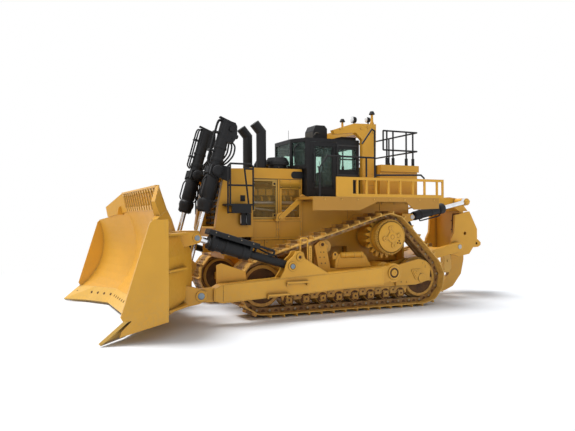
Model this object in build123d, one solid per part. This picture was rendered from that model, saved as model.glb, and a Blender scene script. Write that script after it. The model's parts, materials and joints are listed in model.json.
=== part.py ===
"""Track-type bulldozer with a universal blade and a single-shank ripper.

Millimetres. +X is forward, +Y is the machine's left, +Z is up, and the ground is at Z 0. Stations
along X are counted from the middle of the tracks' ground contact; save() then moves every piece
back by BOX_MIDDLE_X, so that the origin is on the ground under the middle of the whole machine.
"""

from build123d import *
import math
import os

# ---------------------------------------------------------------- driving dimensions
# track chain and undercarriage
TRACK_PITCH = 318.0
TRACK_GAUGE = 2890.0
SHOE_WIDTH = 810.0
GROUSER_TIP = 140.0        # from the pin line out to the grouser's tip
SHOE_FACE = 74.0           # from the pin line out to the shoe's flat face
SHOE_BACK = 50.0           # from the pin line out to the shoe's back
LINK_RAIL = 60.0           # from the pin line in to the rail that rolls
LINK_INNER_Y = 75.0        # each link strand, from the chain's middle
LINK_OUTER_Y = 165.0
FRONT_IDLER = (2250.0, 700.0)
REAR_IDLER = (-2080.0, 700.0)
SPROCKET = (-1100.0, 1750.0)
CARRIER = (620.0, 1550.0)
IDLER_PIN_R = 560.0        # pin circle round an idler
SPROCKET_PIN_R = 515.0
SPROCKET_TEETH = 20
TOOTH_GAP = 10.0           # between a sprocket's tooth and the shoe's back over it
CARRIER_R = 150.0
ROLLER_R = 150.0
ROLLER_COUNT = 8
ROLLER_FIRST_X = -1480.0
ROLLER_STEP = 440.0
ROLL_GAP = 0.4             # between a roller or idler and the rail it carries
HUB_R = 430.0
HUB_FACE_Y = 1850.0
WHEEL_SIDES = 28           # flats that stand in for a wheel's or boss's round
BARREL_SIDES = 20          # flats round a cylinder's barrel

# main frame
RAIL_Y = (380.0, 500.0)
BELLY_Z = 720.0
RAIL_TOP_Z = 1500.0
CASE_HALF = 700.0
CASE_REAR_X = -2020.0
PIVOT = (-920.0, 910.0)    # pivot shaft and push-arm trunnion, one cross line
TRUNNION_R = 115.0
TRUNNION_END_Y = 2190.0
PIN_GAP = 1.0              # running gap of every pin in its bore

# push arms and blade
ARM_Y = (2000.0, 2300.0)
BLADE_PIN = (3870.0, 640.0)
BLADE_PIN_R = 75.0
TILT_BACK = (1810.0, 1170.0)
TILT_FRONT = (3940.0, 1820.0)
TILT_PIN_R = 50.0
TILT_BARREL_R = 125.0
TILT_ROD_R = 62.0
GLAND_RISE = 22.0          # a cylinder's gland over its barrel
BLADE_HALF = 3350.0
BLADE_CENTRE_HALF = 1950.0
BLADE_PLATE = 90.0
MOLDBOARD_FLATS = 10       # flats that roll the moldboard's curve
BLADE_BOTTOM_Z = 410.0
BLADE_TOP_Z = 2400.0
BLADE_BACK_X = 3960.0
WING_SET = 760.0           # how far the wing's foot stands ahead of the centre's at the blade's end
WING_DROP = 210.0          # how far the wing's end stands below the centre's top
MOLDBOARD_FOOT_X = 4840.0
EDGE_TIP_X = 5075.0
BIT_TIP_X = 6020.0
SHELF_Z = (500.0, 1230.0, 1900.0)   # plates between the wing's back and its end cheek
GUARD_TOP_Z = 2890.0
GUARD_END = (2800.0, 2540.0)   # the rock guard's outer end: from the middle, and its top
GUARD_SLOTS = 15
SIDE_PLATE = 60.0

# blade lift cylinders
LIFT_Y = 800.0
LIFT_YOKE = (3100.0, 3300.0)
LIFT_EYE = (3700.0, 1150.0)
LIFT_BARREL_R = 135.0
LIFT_ROD_R = 62.0
YOKE_R = 194.0
YOKE_STUB_R = 55.0
BARREL_PIN_R = 40.0
LIFT_ABOVE = 1180.0        # barrel above its yoke
LIFT_BELOW = 950.0         # barrel below its yoke

# ripper linkage
RIPPER_LINK_FRONT = (-2260.0, 980.0)
RIPPER_LINK_REAR = (-4150.0, 1400.0)
RIPPER_TILT_REAR = (-4240.0, 2660.0)
RIPPER_TILT_Y = 900.0
RIPPER_LIFT_FRONT = (-2420.0, 2440.0)
RIPPER_LIFT_REAR = (-3040.0, 1180.0)
RIPPER_LIFT_Y = 420.0
RIPPER_PIN_R = 60.0
RIPPER_EYE_R = 105.0
RIPPER_EYE_HALF = 55.0
RIPPER_BARREL_R = 115.0
RIPPER_ROD_R = 58.0
SHANK_HALF = 60.0
SHANK_X = (-4900.0, -4430.0)

# upper works
DECK_Z = 2720.0
DECK_HALF = 1830.0
DECK_INNER = 760.0
DECK_GUARD = 40.0          # thickness of the guard along the deck's edge
DECK_GUARD_TOP_Z = 3190.0
DECK_GUARD_BARS = (15, -140, -400, -670, -1030, -1380, -1760, -2120, -2510, -2690)
DECK_BAR_HALF = 25.0
CAB_HALF = 950.0
CAB_WALL = 60.0
CAB_ROOF_Z = 4200.0
HOOD_HALF = 750.0
HOOD_TOP_Z = 3430.0
HOOD_FRONT_X = 2160.0
HOOD_REAR_X = 800.0
NOSE_HALF = 880.0
NOSE_FOOT_Z = 1780.0
STEPS_Y = 1290.0           # outside of the front ladder
TANK_HALF = 1300.0
TANK_TOP_Z = 3570.0
DOOR_GAP = 6.0
HINGE_OUT = 28.0           # door hinge's pin, outside the skin
HINGE_PIN_R = 12.0
ENGINE_HINGE_Z = (2450.0, 2920.0)
CAB_HINGE_Z = (3000.0, 3900.0)
MAST_X = -1090.0
MASTS = ((1000.0, 4960.0), (-500.0, 4990.0))   # across, and top
POST_X = (1400.0, 1462.0)  # post between the engine's side panels
RAIL_R = 22.0              # handrail tube
HITCH_X = -5520.0
TOW_PIN = (-5360.0, 1450.0)
TOW_BORE_R = 38.0
CHEEK_BORE = (-4490.0, 1770.0)
CHEEK_BORE_R = 50.0

BOX_MIDDLE_X = (BIT_TIP_X + HITCH_X) / 2
GAUGE_HALF = TRACK_GAUGE / 2
ENGINE_DOOR_FRONT_X = HOOD_FRONT_X - 2 - DOOR_GAP
SEAT = 0.3                 # between pieces that sit on each other
FORK_PLATE = 55.0          # plates that carry the idlers
IDLER_FORK_Y = (GAUGE_HALF - 230, GAUGE_HALF + 230)
FRAME_PAD_Z = 1015.0       # top of the track frame under the equalizer bar
ROLLER_PIN_R = 70.0        # half of a roller's square end block
ROLLER_END_Y = LINK_OUTER_Y + 36

os.makedirs("parts", exist_ok=True)


# ---------------------------------------------------------------- small builders
def slab(outline, y0, y1):
    """A plate of the side outline (x, z), from y0 to y1."""
    wire = Polyline(*[(x, y0, z) for x, z in outline], close=True)
    return extrude(make_face(wire), amount=y1 - y0, dir=(0, 1, 0))


def block(x0, x1, y0, y1, z0, z1):
    """A box between two corners."""
    middle = ((x0 + x1) / 2, (y0 + y1) / 2, (z0 + z1) / 2)
    return Pos(*middle) * Box(abs(x1 - x0), abs(y1 - y0), abs(z1 - z0))


def across(centre, radius, y0, y1):
    """A round bar along Y at the side point (x, z)."""
    place = Pos(centre[0], (y0 + y1) / 2, centre[1]) * Rot(90, 0, 0)
    return place * Cylinder(radius, abs(y1 - y0))


def drum(centre, radius, y0, y1, sides=WHEEL_SIDES):
    """A many-sided drum along Y at the side point (x, z), for rims and bosses that nothing fits."""
    turn = math.pi / sides
    corners = [(centre[0] + radius * math.cos(turn * (2 * k + 1)), centre[1] + radius * math.sin(turn * (2 * k + 1)))
               for k in range(sides)]
    return slab(corners, *sorted((y0, y1)))


def bar(start, end, radius):
    """A round bar between two points (x, y, z)."""
    a, b = Vector(*start), Vector(*end)
    return Plane(origin=(a + b) / 2, z_dir=b - a) * Cylinder(radius, (b - a).length)


def upright(x, y, z0, z1, radius, sides=12):
    """A many-sided upright post between two heights."""
    return extrude(Pos(x, y, z0) * RegularPolygon(radius, sides), amount=z1 - z0)


def tube(start, end, radius=RAIL_R, sides=8):
    """A many-sided tube or barrel between two points (x, y, z)."""
    a, b = Vector(*start), Vector(*end)
    section = Plane(origin=a, z_dir=b - a) * RegularPolygon(radius, sides)
    return extrude(section, amount=(b - a).length, dir=(b - a).normalized())


def handrail(y, x_z_points):
    """Handrail tubes from point to point of a side line (x, z), with each corner filled by an overlap."""
    rail = None
    for start, end in zip(x_z_points, x_z_points[1:]):
        length = math.dist(start, end)
        piece = tube(spread(y, start), spread(y, along(start, end, length + RAIL_R / 2)))
        rail = piece if rail is None else rail + piece
    return rail


def both(piece):
    """A left piece and its mirrored right one."""
    return [piece, mirror(piece, Plane.XZ)]


def along(start, end, distance, offset=0.0):
    """The side point at a distance from start towards end, offset to the left of that way."""
    dx, dz = end[0] - start[0], end[1] - start[1]
    length = math.hypot(dx, dz)
    ux, uz = dx / length, dz / length
    return (start[0] + ux * distance - uz * offset, start[1] + uz * distance + ux * offset)


def spread(y, x_z):
    """The point (x, y, z) over the side point (x, z)."""
    return (x_z[0], y, x_z[1])


def save(name, *pieces):
    """Write one node's solids, moved so that the origin is under the machine's middle."""
    solids = []
    for piece in pieces:
        solids += piece.solids() if hasattr(piece, "solids") else [s for p in piece for s in p.solids()]
    moved = [Pos(-BOX_MIDDLE_X, 0, 0) * solid for solid in solids]
    export_step(Compound(children=moved), f"parts/{name}.step")


# ---------------------------------------------------------------- tracks
def belt(circles):
    """Tangent runs and wraps round (x, z, r) circles, as (length, point at a distance) pieces."""
    runs = []
    for (x0, z0, r0), (x1, z1, r1) in zip(circles, circles[1:] + circles[:1]):
        dx, dz = x1 - x0, z1 - z0
        gap = math.hypot(dx, dz)
        ux, uz = dx / gap, dz / gap
        lean = (r0 - r1) / gap
        side = math.sqrt(1 - lean * lean)
        nx, nz = ux * lean + uz * side, uz * lean - ux * side
        runs.append(((x0 + r0 * nx, z0 + r0 * nz), (x1 + r1 * nx, z1 + r1 * nz), math.atan2(nz, nx)))
    pieces = []
    for k, (start, end, turn) in enumerate(runs):
        pieces.append(("run", math.dist(start, end), start, end))
        x, z, r = circles[(k + 1) % len(circles)]
        sweep = (runs[(k + 1) % len(runs)][2] - turn) % (2 * math.pi)
        pieces.append(("wrap", r * sweep, (x, z, r), turn))
    return pieces


def pin_places():
    """The pins of one chain at an even pitch round the loop, as side points."""
    loop = belt([
        (*REAR_IDLER, IDLER_PIN_R),
        (*FRONT_IDLER, IDLER_PIN_R),
        (*CARRIER, CARRIER_R + LINK_RAIL + 6),
        (*SPROCKET, SPROCKET_PIN_R),
    ])
    total = sum(piece[1] for piece in loop)
    count = round(total / TRACK_PITCH)
    places = []
    for k in range(count):
        s = total * k / count
        for kind, length, first, second in loop:
            if s > length:
                s -= length
                continue
            if kind == "run":
                places.append((first[0] + (second[0] - first[0]) * s / length,
                               first[1] + (second[1] - first[1]) * s / length))
            else:
                angle = second + s / first[2]
                places.append((first[0] + first[2] * math.cos(angle),
                               first[1] + first[2] * math.sin(angle)))
            break
    return places


def offset_loop(pins, out):
    """The chain's closed outline at a distance outside its pin line, cornered at the pins."""
    corners = []
    for before, here, after in zip(pins[-1:] + pins[:-1], pins, pins[1:] + pins[:1]):
        a = math.atan2(here[1] - before[1], here[0] - before[0]) - math.pi / 2
        b = math.atan2(after[1] - here[1], after[0] - here[0]) - math.pi / 2
        half = ((b - a + math.pi) % (2 * math.pi) - math.pi) / 2
        reach = out / math.cos(half)
        corners.append((here[0] + reach * math.cos(a + half), here[1] + reach * math.sin(a + half)))
    return corners


def shoe_outline(pins):
    """The outer line of all shoes: a flat plate each, with one grouser near its leading end."""
    # share of the pitch, height over the pin line
    shoe = [(0.03, SHOE_FACE), (0.12, SHOE_FACE), (0.15, GROUSER_TIP), (0.20, GROUSER_TIP),
            (0.24, SHOE_FACE), (0.97, SHOE_FACE)]
    line = []
    for here, after in zip(pins, pins[1:] + pins[:1]):
        pitch = math.dist(here, after)
        for share, height in shoe:
            line.append(along(here, after, share * pitch, -height))
    return line


def track():
    pins = pin_places()
    shoes = slab(shoe_outline(pins), GAUGE_HALF - SHOE_WIDTH / 2, GAUGE_HALF + SHOE_WIDTH / 2)
    shoes -= slab(offset_loop(pins, SHOE_BACK), 0, HUB_FACE_Y * 2)
    for side in (-1, 1):
        y0 = GAUGE_HALF + side * LINK_INNER_Y
        y1 = GAUGE_HALF + side * LINK_OUTER_Y
        strand = slab(offset_loop(pins, SHOE_BACK), min(y0, y1), max(y0, y1))
        strand -= slab(offset_loop(pins, -LINK_RAIL), min(y0, y1) - 1, max(y0, y1) + 1)
        shoes += strand
    return shoes


# ---------------------------------------------------------------- undercarriage
def wrap_mid_radius(pin_radius):
    """Radius at the middle of a link that lies round a pin circle, to its rail."""
    return math.sqrt(pin_radius ** 2 - (TRACK_PITCH / 2) ** 2) - LINK_RAIL


def idler(centre):
    rim = wrap_mid_radius(IDLER_PIN_R) - ROLL_GAP
    wheel = drum(centre, rim, GAUGE_HALF - LINK_OUTER_Y, GAUGE_HALF + LINK_OUTER_Y)
    wheel += drum(centre, rim + 45, GAUGE_HALF - LINK_INNER_Y + 12, GAUGE_HALF + LINK_INNER_Y - 12)
    hub_half = GAUGE_HALF - IDLER_FORK_Y[0]
    return wheel + drum(centre, 150, GAUGE_HALF - hub_half, GAUGE_HALF + hub_half, 12)


def roller(x):
    centre = (x, roller_z())
    wheel = drum(centre, ROLLER_R, GAUGE_HALF - LINK_OUTER_Y, GAUGE_HALF + LINK_OUTER_Y, 14)
    ends = block(x - ROLLER_PIN_R, x + ROLLER_PIN_R, GAUGE_HALF - ROLLER_END_Y, GAUGE_HALF + ROLLER_END_Y,
                 centre[1] - ROLLER_PIN_R, centre[1] + ROLLER_PIN_R)
    return wheel + ends


def roller_z():
    """Height of the bottom rollers' line over the ground."""
    return GROUSER_TIP + LINK_RAIL + ROLLER_R + ROLL_GAP


def final_drive():
    hub_steps = [
        # radius, from y, to y
        (300.0, CASE_HALF + 0.3, GAUGE_HALF - 150),
        (395.0, GAUGE_HALF - 150, GAUGE_HALF + 230),
        (HUB_R, GAUGE_HALF + 230, HUB_FACE_Y - 60),
        (HUB_R - 60, HUB_FACE_Y - 60, HUB_FACE_Y - 20),
        (190.0, HUB_FACE_Y - 20, HUB_FACE_Y),
    ]
    drive = None
    for radius, y0, y1 in hub_steps:
        step = drum(SPROCKET, radius, y0, y1)
        drive = step if drive is None else drive + step
    root = 415.0
    tip = math.sqrt(SPROCKET_PIN_R ** 2 - (TRACK_PITCH / 2) ** 2) + SHOE_BACK - TOOTH_GAP
    wheel = []
    for k in range(SPROCKET_TEETH):
        for share, radius in ((0.0, root), (0.30, tip), (0.55, tip), (0.85, root)):
            angle = 2 * math.pi * (k + share) / SPROCKET_TEETH
            wheel.append((SPROCKET[0] + radius * math.cos(angle), SPROCKET[1] + radius * math.sin(angle)))
    return drive + slab(wheel, GAUGE_HALF - 55, GAUGE_HALF + 55)


def track_frame():
    inner, outer = IDLER_FORK_Y
    body = slab([(-1480, 530), (-1480, 1000), (-300, 1060), (1150, FRAME_PAD_Z), (1560, FRAME_PAD_Z),
                 (1640, 900), (1640, 530)],
                inner, outer)
    rear = [(-2330, 640), (-2350, 960), (-2220, 1120), (-2000, 1180), (-1700, 1120), (-1300, 1040),
            (-1300, 540), (-1900, 540)]
    front = [(1450, 540), (1450, 980), (2100, 880), (2430, 800), (2430, 620), (2150, 540)]
    for outline in (rear, front):
        body += slab(outline, inner - FORK_PLATE, inner)
        body += slab(outline, outer, outer + FORK_PLATE)
    body += drum(PIVOT, 230, inner - FORK_PLATE, outer + FORK_PLATE + 5)
    body -= across(PIVOT, TRUNNION_R + SEAT, 0, HUB_FACE_Y * 2)
    for centre in (FRONT_IDLER, REAR_IDLER):
        body += drum(centre, 110, outer + FORK_PLATE - 1, outer + FORK_PLATE + 20, 16)
    # side plates that hang the bottom rollers, notched over their pins
    last_x = ROLLER_FIRST_X + (ROLLER_COUNT - 1) * ROLLER_STEP
    for y in (GAUGE_HALF - LINK_OUTER_Y - 36, GAUGE_HALF + LINK_OUTER_Y + 6):
        plate = slab([(ROLLER_FIRST_X - 160, roller_z()), (ROLLER_FIRST_X - 220, 540), (last_x + 220, 540),
                      (last_x + 160, roller_z())], y, y + 30)
        for k in range(ROLLER_COUNT):
            x = ROLLER_FIRST_X + k * ROLLER_STEP
            plate -= block(x - ROLLER_PIN_R - SEAT, x + ROLLER_PIN_R + SEAT, y - 1, y + 31, roller_z() - 1,
                           roller_z() + ROLLER_PIN_R + SEAT)
        body += plate
    # recoil spring's box
    body += slab([(-600, 1040), (-420, 1330), (300, 1360), (400, 1220), (400, 1030)], GAUGE_HALF, outer + 25)
    # outer bracket of the carrier roller
    body += slab([(520, 1030), (640, 1600), (700, 1690), (790, 1690), (940, 1580), (830, 1020)], outer - 40, outer)
    body += drum(CARRIER, 60, GAUGE_HALF + LINK_OUTER_Y + SEAT, outer - 39, 16)
    # saddle under the carrier roller
    body += slab([(480, 1030), (560, 1500), (680, 1500), (760, 1020)], GAUGE_HALF - 230, GAUGE_HALF - 190)
    body += drum(CARRIER, 60, GAUGE_HALF - 191, GAUGE_HALF - LINK_OUTER_Y - SEAT, 16)
    return body


# ---------------------------------------------------------------- main frame
def main_frame():
    rail = [(CASE_REAR_X, 780), (CASE_REAR_X, RAIL_TOP_Z), (2750, RAIL_TOP_Z), (2750, 1260), (1100, 1260), (900, 780)]
    frame = slab(rail, *RAIL_Y) + slab(rail, -RAIL_Y[1], -RAIL_Y[0])
    frame += block(CASE_REAR_X, 900, -RAIL_Y[1], RAIL_Y[1], BELLY_Z, 781)
    frame += block(2600, 2750, -RAIL_Y[1], RAIL_Y[1], 1260, NOSE_FOOT_Z - SEAT)
    frame += block(1100, 2600, -RAIL_Y[0] - 1, RAIL_Y[0] + 1, 1260, 1310)
    frame += slab([(CASE_REAR_X, 1100), (CASE_REAR_X, 2200), (-1950, 2300), (-700, 2300), (-500, 2100),
                   (-500, 1100)], -CASE_HALF, CASE_HALF)
    for x in (-1900, -750):
        for y in (-620, 620):
            frame += block(x, x + 200, y - 60, y + 60, 2299, DECK_Z - 60 - SEAT)
    # side plates under the deck, from the case forward to the hood
    for side in (-1, 1):
        frame += block(-520, HOOD_REAR_X - 5, *sorted((side * (CASE_HALF - 50), side * CASE_HALF)), RAIL_TOP_Z,
                       DECK_Z - 70)
    inner = IDLER_FORK_Y[0] - FORK_PLATE - SEAT
    frame += drum(PIVOT, 200, -inner, inner)
    return frame


def pivot_shaft():
    """The pivot shaft's end through the track frame, out to the push arm's trunnion."""
    return across(PIVOT, TRUNNION_R, IDLER_FORK_Y[0] - FORK_PLATE, TRUNNION_END_Y)


def equalizer_bar():
    half = GAUGE_HALF + 100
    beam = block(1260, 1500, -half, half, FRAME_PAD_Z + SEAT, 1150)
    beam += slab([(1290, 1150), (1330, 1260 - SEAT), (1430, 1260 - SEAT), (1470, 1150)], -440, 440)
    return beam


# ---------------------------------------------------------------- push arms and blade
def push_arm():
    y0, y1 = ARM_Y
    middle = (y0 + y1) / 2
    beam = slab([(-560, 660), (-560, 1070), (360, 1005), (3420, 855), (3590, 760), (3590, 520), (3420, 465),
                 (360, 620)], y0, y1)
    beam += slab([(-960, 740), (-960, 1080), (-540, 1070), (-540, 660)], y0 - 30, TRUNNION_END_Y - 20)
    beam += drum(PIVOT, 225, y0 - 30, TRUNNION_END_Y - 20)
    beam -= across(PIVOT, TRUNNION_R + PIN_GAP, y0 - 40, TRUNNION_END_Y)
    neck = slab([(3500, 500), (3500, 780), (BLADE_PIN[0], BLADE_PIN[1] + 140),
                 (BLADE_PIN[0], BLADE_PIN[1] - 140)], middle - 95, middle + 95)
    beam += neck + drum(BLADE_PIN, 140, middle - 95, middle + 95, 20)
    beam -= across(BLADE_PIN, BLADE_PIN_R + PIN_GAP, y0, y1)
    ear = [(880, 960), (1500, 1330), (1540, 1460), (1620, 1500), (1720, 1490), (1770, 1400), (1930, 1260),
           (2000, 1080), (2120, 890)]
    for side in (-1, 1):
        near, far = middle + side * 95, middle + side * 145
        plate = slab(ear, min(near, far), max(near, far))
        beam += plate
        beam += drum(TILT_BACK, 95, far, far + side * 15, 16)
    beam += across(TILT_BACK, TILT_PIN_R, middle - 95, middle + 95)
    beam += slab([(2780, 860), (2800, 1080), (3340, 1270), (3450, 1230), (3450, 830)], y0, y0 + 40)
    return beam


def arc_points(low, middle, top, count):
    """Even points on the arc from low through middle to top, all side points (x, z)."""
    (ax, az), (bx, bz), (cx, cz) = low, middle, top
    d = 2 * (ax * (bz - cz) + bx * (cz - az) + cx * (az - bz))
    a2, b2, c2 = ax * ax + az * az, bx * bx + bz * bz, cx * cx + cz * cz
    x = (a2 * (bz - cz) + b2 * (cz - az) + c2 * (az - bz)) / d
    z = (a2 * (cx - bx) + b2 * (ax - cx) + c2 * (bx - ax)) / d
    radius = math.hypot(ax - x, az - z)
    first = math.atan2(az - z, ax - x) % (2 * math.pi)
    last = math.atan2(cz - z, cx - x) % (2 * math.pi)
    angles = [first + (last - first) * k / count for k in range(count + 1)]
    return [(x + radius * math.cos(angle), z + radius * math.sin(angle)) for angle in angles]


def moldboard_ring(low, middle, top, y):
    """Corners of the moldboard's section at a plane of constant y: a rolled plate of even flats."""
    front = arc_points(low, middle, top, MOLDBOARD_FLATS)
    rear = [(x - BLADE_PLATE, z) for x, z in reversed(front)]
    return [(x, y, z) for x, z in front + rear]


def wing_run(face, side, y0, y1):
    """A wing piece: the face at y0 carried out to y1 and forward at the wing's angle."""
    rise = WING_SET / (BLADE_HALF - BLADE_CENTRE_HALF)
    return extrude(face, amount=(y1 - y0) * math.hypot(1, rise), dir=(rise, side, 0))


def wing_x(y):
    """How far the wing stands ahead of the centre at a distance y from the middle."""
    return WING_SET * (y - BLADE_CENTRE_HALF) / (BLADE_HALF - BLADE_CENTRE_HALF)


def wing_top(y):
    """Height of the wing's sloping top edge at a distance y from the middle."""
    return BLADE_TOP_Z - WING_DROP * (y - BLADE_CENTRE_HALF) / (BLADE_HALF - BLADE_CENTRE_HALF)


def wing_top_x(y):
    """Place of the moldboard's top front edge, which runs straight out along the wing."""
    inner, outer = CENTRE_ARC[2][0], WING_ARC[2][0]
    return inner + (outer - inner) * (y - BLADE_CENTRE_HALF) / (WING_END - BLADE_CENTRE_HALF)


WING_END = BLADE_HALF - SIDE_PLATE
# front face of the moldboard in the middle and at the wing's end: its foot, middle and top (x, z)
CENTRE_ARC = ((MOLDBOARD_FOOT_X, BLADE_BOTTOM_Z), (4350, 1500), (4560, BLADE_TOP_Z))
WING_ARC = ((MOLDBOARD_FOOT_X + wing_x(WING_END), BLADE_BOTTOM_Z), (4965, 1620), (5090, wing_top(WING_END)))


def blade():
    half, end = BLADE_CENTRE_HALF, WING_END
    body = hull_of(moldboard_ring(*CENTRE_ARC, -half), moldboard_ring(*CENTRE_ARC, half))
    # box section behind the moldboard, in the middle and at the wing's end
    back = [(4740, 440), (4400, 1000), (4300, 1440), (4340, 1960), (4140, 1960), (BLADE_BACK_X, 1500),
            (BLADE_BACK_X, 700), (4120, 440)]
    back_end = [(5480, 440), (5040, 1000), (4920, 1440), (4960, 1960), (4850, 1960), (4790, 1500), (4790, 700),
                (4800, 440)]
    body += slab(back, -half, half)
    for side in (-1, 1):
        body += block(3720, 4160, *sorted((side * 1150, side * 1700)), 1840, 1955)
        body += hull_of(moldboard_ring(*CENTRE_ARC, side * half), moldboard_ring(*WING_ARC, side * end))
        body += hull_of([(x, side * half, z) for x, z in back], [(x, side * end, z) for x, z in back_end])
        cheek = [(5060, wing_top(end)), (5130, wing_top(end) - 60), (5640, 480), (5600, 410), (5450, 410),
                 (5630, 238), (5660, 135), (4980, 300), (4790, 345), (4790, wing_top(end))]
        body += slab(cheek, *sorted((side * end, side * BLADE_HALF)))
        for z in SHELF_Z:
            shelf = [(4850, side * end), (4740, side * end), (4250, side * 2680), (4200, side * 2350),
                     (4420, side * 2350)]
            body += plan_prism(shelf, z, z + 40)
        middle = side * (ARM_Y[0] + ARM_Y[1]) / 2
        for away in (-1, 1):
            near, far = middle + away * 105, middle + away * 155
            pusher = [(4300, 420), (4300, 900), (BLADE_PIN[0] + 60, 800), (BLADE_PIN[0] - 130, 720),
                      (BLADE_PIN[0] - 130, 560), (BLADE_PIN[0] + 40, 480)]
            body += slab(pusher, *sorted((near, far)))
            near, far = middle + away * 75, middle + away * 115
            lug = [(4360, 1600), (4360, 1960), (TILT_FRONT[0] - 40, 1930), (TILT_FRONT[0] - 110, 1820),
                   (TILT_FRONT[0] - 60, 1720)]
            body += slab(lug, *sorted((near, far)))
            near, far = side * LIFT_Y + away * 85, side * LIFT_Y + away * 135
            ear = [(4000, 900), (4000, 1420), (3700, 1330), (3560, 1200), (3560, 1080), (3700, 980)]
            body += slab(ear, *sorted((near, far)))
            body += drum(LIFT_EYE, 100, far, far + away * 25, 16)
        body += across(BLADE_PIN, BLADE_PIN_R, middle - 105, middle + 105)
        body += across(TILT_FRONT, TILT_PIN_R, middle - 75, middle + 75)
    return body


def cutting_edges():
    foot = BLADE_BOTTOM_Z - SEAT
    section = [(MOLDBOARD_FOOT_X - BLADE_PLATE, foot), (MOLDBOARD_FOOT_X, foot), (EDGE_TIP_X, 70),
               (EDGE_TIP_X - 40, 30)]
    half = BLADE_CENTRE_HALF
    pieces = [slab(section, -half, half)]
    bit_from = 2750.0
    for side in (-1, 1):
        edge = make_face(Polyline(*[(x, side * half, z) for x, z in section], close=True))
        pieces.append(wing_run(edge, side, half + SEAT, bit_from))
        start = wing_x(bit_from + SEAT)
        inner = [(x + start, side * (bit_from + SEAT), z) for x, z in section]
        tip = wing_x(BLADE_HALF)
        outer = [(x + tip, side * BLADE_HALF, z) for x, z in section]
        outer[2] = (BIT_TIP_X, side * BLADE_HALF, 60)
        outer[3] = (BIT_TIP_X - 40, side * BLADE_HALF, 20)
        pieces.append(hull_of(inner, outer))
    return pieces


def hull_of(near, far):
    """A flat-faced solid between two polygons of four corners, its sides split into triangles."""
    faces = [Face(Wire.make_polygon([Vector(*v) for v in ring], close=True)) for ring in (near, far)]
    for k in range(len(near)):
        a, b = Vector(*near[k]), Vector(*near[(k + 1) % len(near)])
        c, d = Vector(*far[(k + 1) % len(far)]), Vector(*far[k])
        for corners in ((a, b, c), (a, c, d)):
            faces.append(Face(Wire.make_polygon(corners, close=True)))
    return Solid(Shell(faces))


def rock_guard():
    """A slotted panel on the moldboard's middle, and a wing each side that slopes down along its top edge."""
    half = BLADE_CENTRE_HALF
    low, top = BLADE_TOP_Z + SEAT, GUARD_TOP_Z
    foot_x = CENTRE_ARC[2][0]
    section = [(foot_x - 85, low), (foot_x + 40, low), (foot_x + 140, top), (foot_x + 80, top)]
    panel = slab(section, -half, half)
    step = 2 * half / GUARD_SLOTS
    for k in range(GUARD_SLOTS):
        y = -half + step * (k + 0.5)
        panel -= block(foot_x - 200, foot_x + 300, y - step * 0.28, y + step * 0.28, low + 110, top - 90)
    pieces = [panel]
    end, end_top = GUARD_END
    end_x, end_low = wing_top_x(end), wing_top(end) + SEAT
    outer = [(end_x - 85, end_low), (end_x + 40, end_low), (end_x + 90, end_top), (end_x + 20, end_top)]
    for side in (-1, 1):
        pieces.append(hull_of([(x, side * (half + SEAT), z) for x, z in section],
                              [(x, side * end, z) for x, z in outer]))
    return pieces


# ---------------------------------------------------------------- cylinders
def eye(centre, y, radius, pin_radius, half):
    ring = drum(centre, radius, y - half, y + half, 20)
    return ring - across(centre, pin_radius + PIN_GAP, y - half - 1, y + half + 1)


def barrel(start, end, y, radius, rod_radius, head, stroke_end):
    """A barrel from start towards end, with its gland at stroke_end, bored for the rod."""
    a = spread(y, along(start, end, head))
    b = spread(y, along(start, end, stroke_end))
    gland = spread(y, along(start, end, stroke_end - 170))
    body = tube(a, b, radius, BARREL_SIDES)
    body += tube(gland, b, radius + GLAND_RISE, BARREL_SIDES)
    hollow_from = spread(y, along(start, end, head + 70))
    hollow_to = spread(y, along(start, end, stroke_end + 1))
    return body - bar(hollow_from, hollow_to, rod_radius + PIN_GAP)


def tilt_cylinders():
    y = (ARM_Y[0] + ARM_Y[1]) / 2
    length = math.dist(TILT_BACK, TILT_FRONT)
    body = barrel(TILT_BACK, TILT_FRONT, y, TILT_BARREL_R, TILT_ROD_R, 1000, length - 275)
    body += tube(spread(y, along(TILT_BACK, TILT_FRONT, 60)), spread(y, along(TILT_BACK, TILT_FRONT, 1010)), 78, 16)
    body += eye(TILT_BACK, y, 88, TILT_PIN_R, 85)
    body -= across(TILT_BACK, TILT_PIN_R + PIN_GAP, y - 90, y + 90)
    rod = bar(spread(y, along(TILT_BACK, TILT_FRONT, 1250)),
              spread(y, along(TILT_BACK, TILT_FRONT, length - 70)), TILT_ROD_R)
    rod += eye(TILT_FRONT, y, 100, TILT_PIN_R, 68)
    rod -= across(TILT_FRONT, TILT_PIN_R + 12, y - 90, y + 90)
    return body, rod


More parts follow.
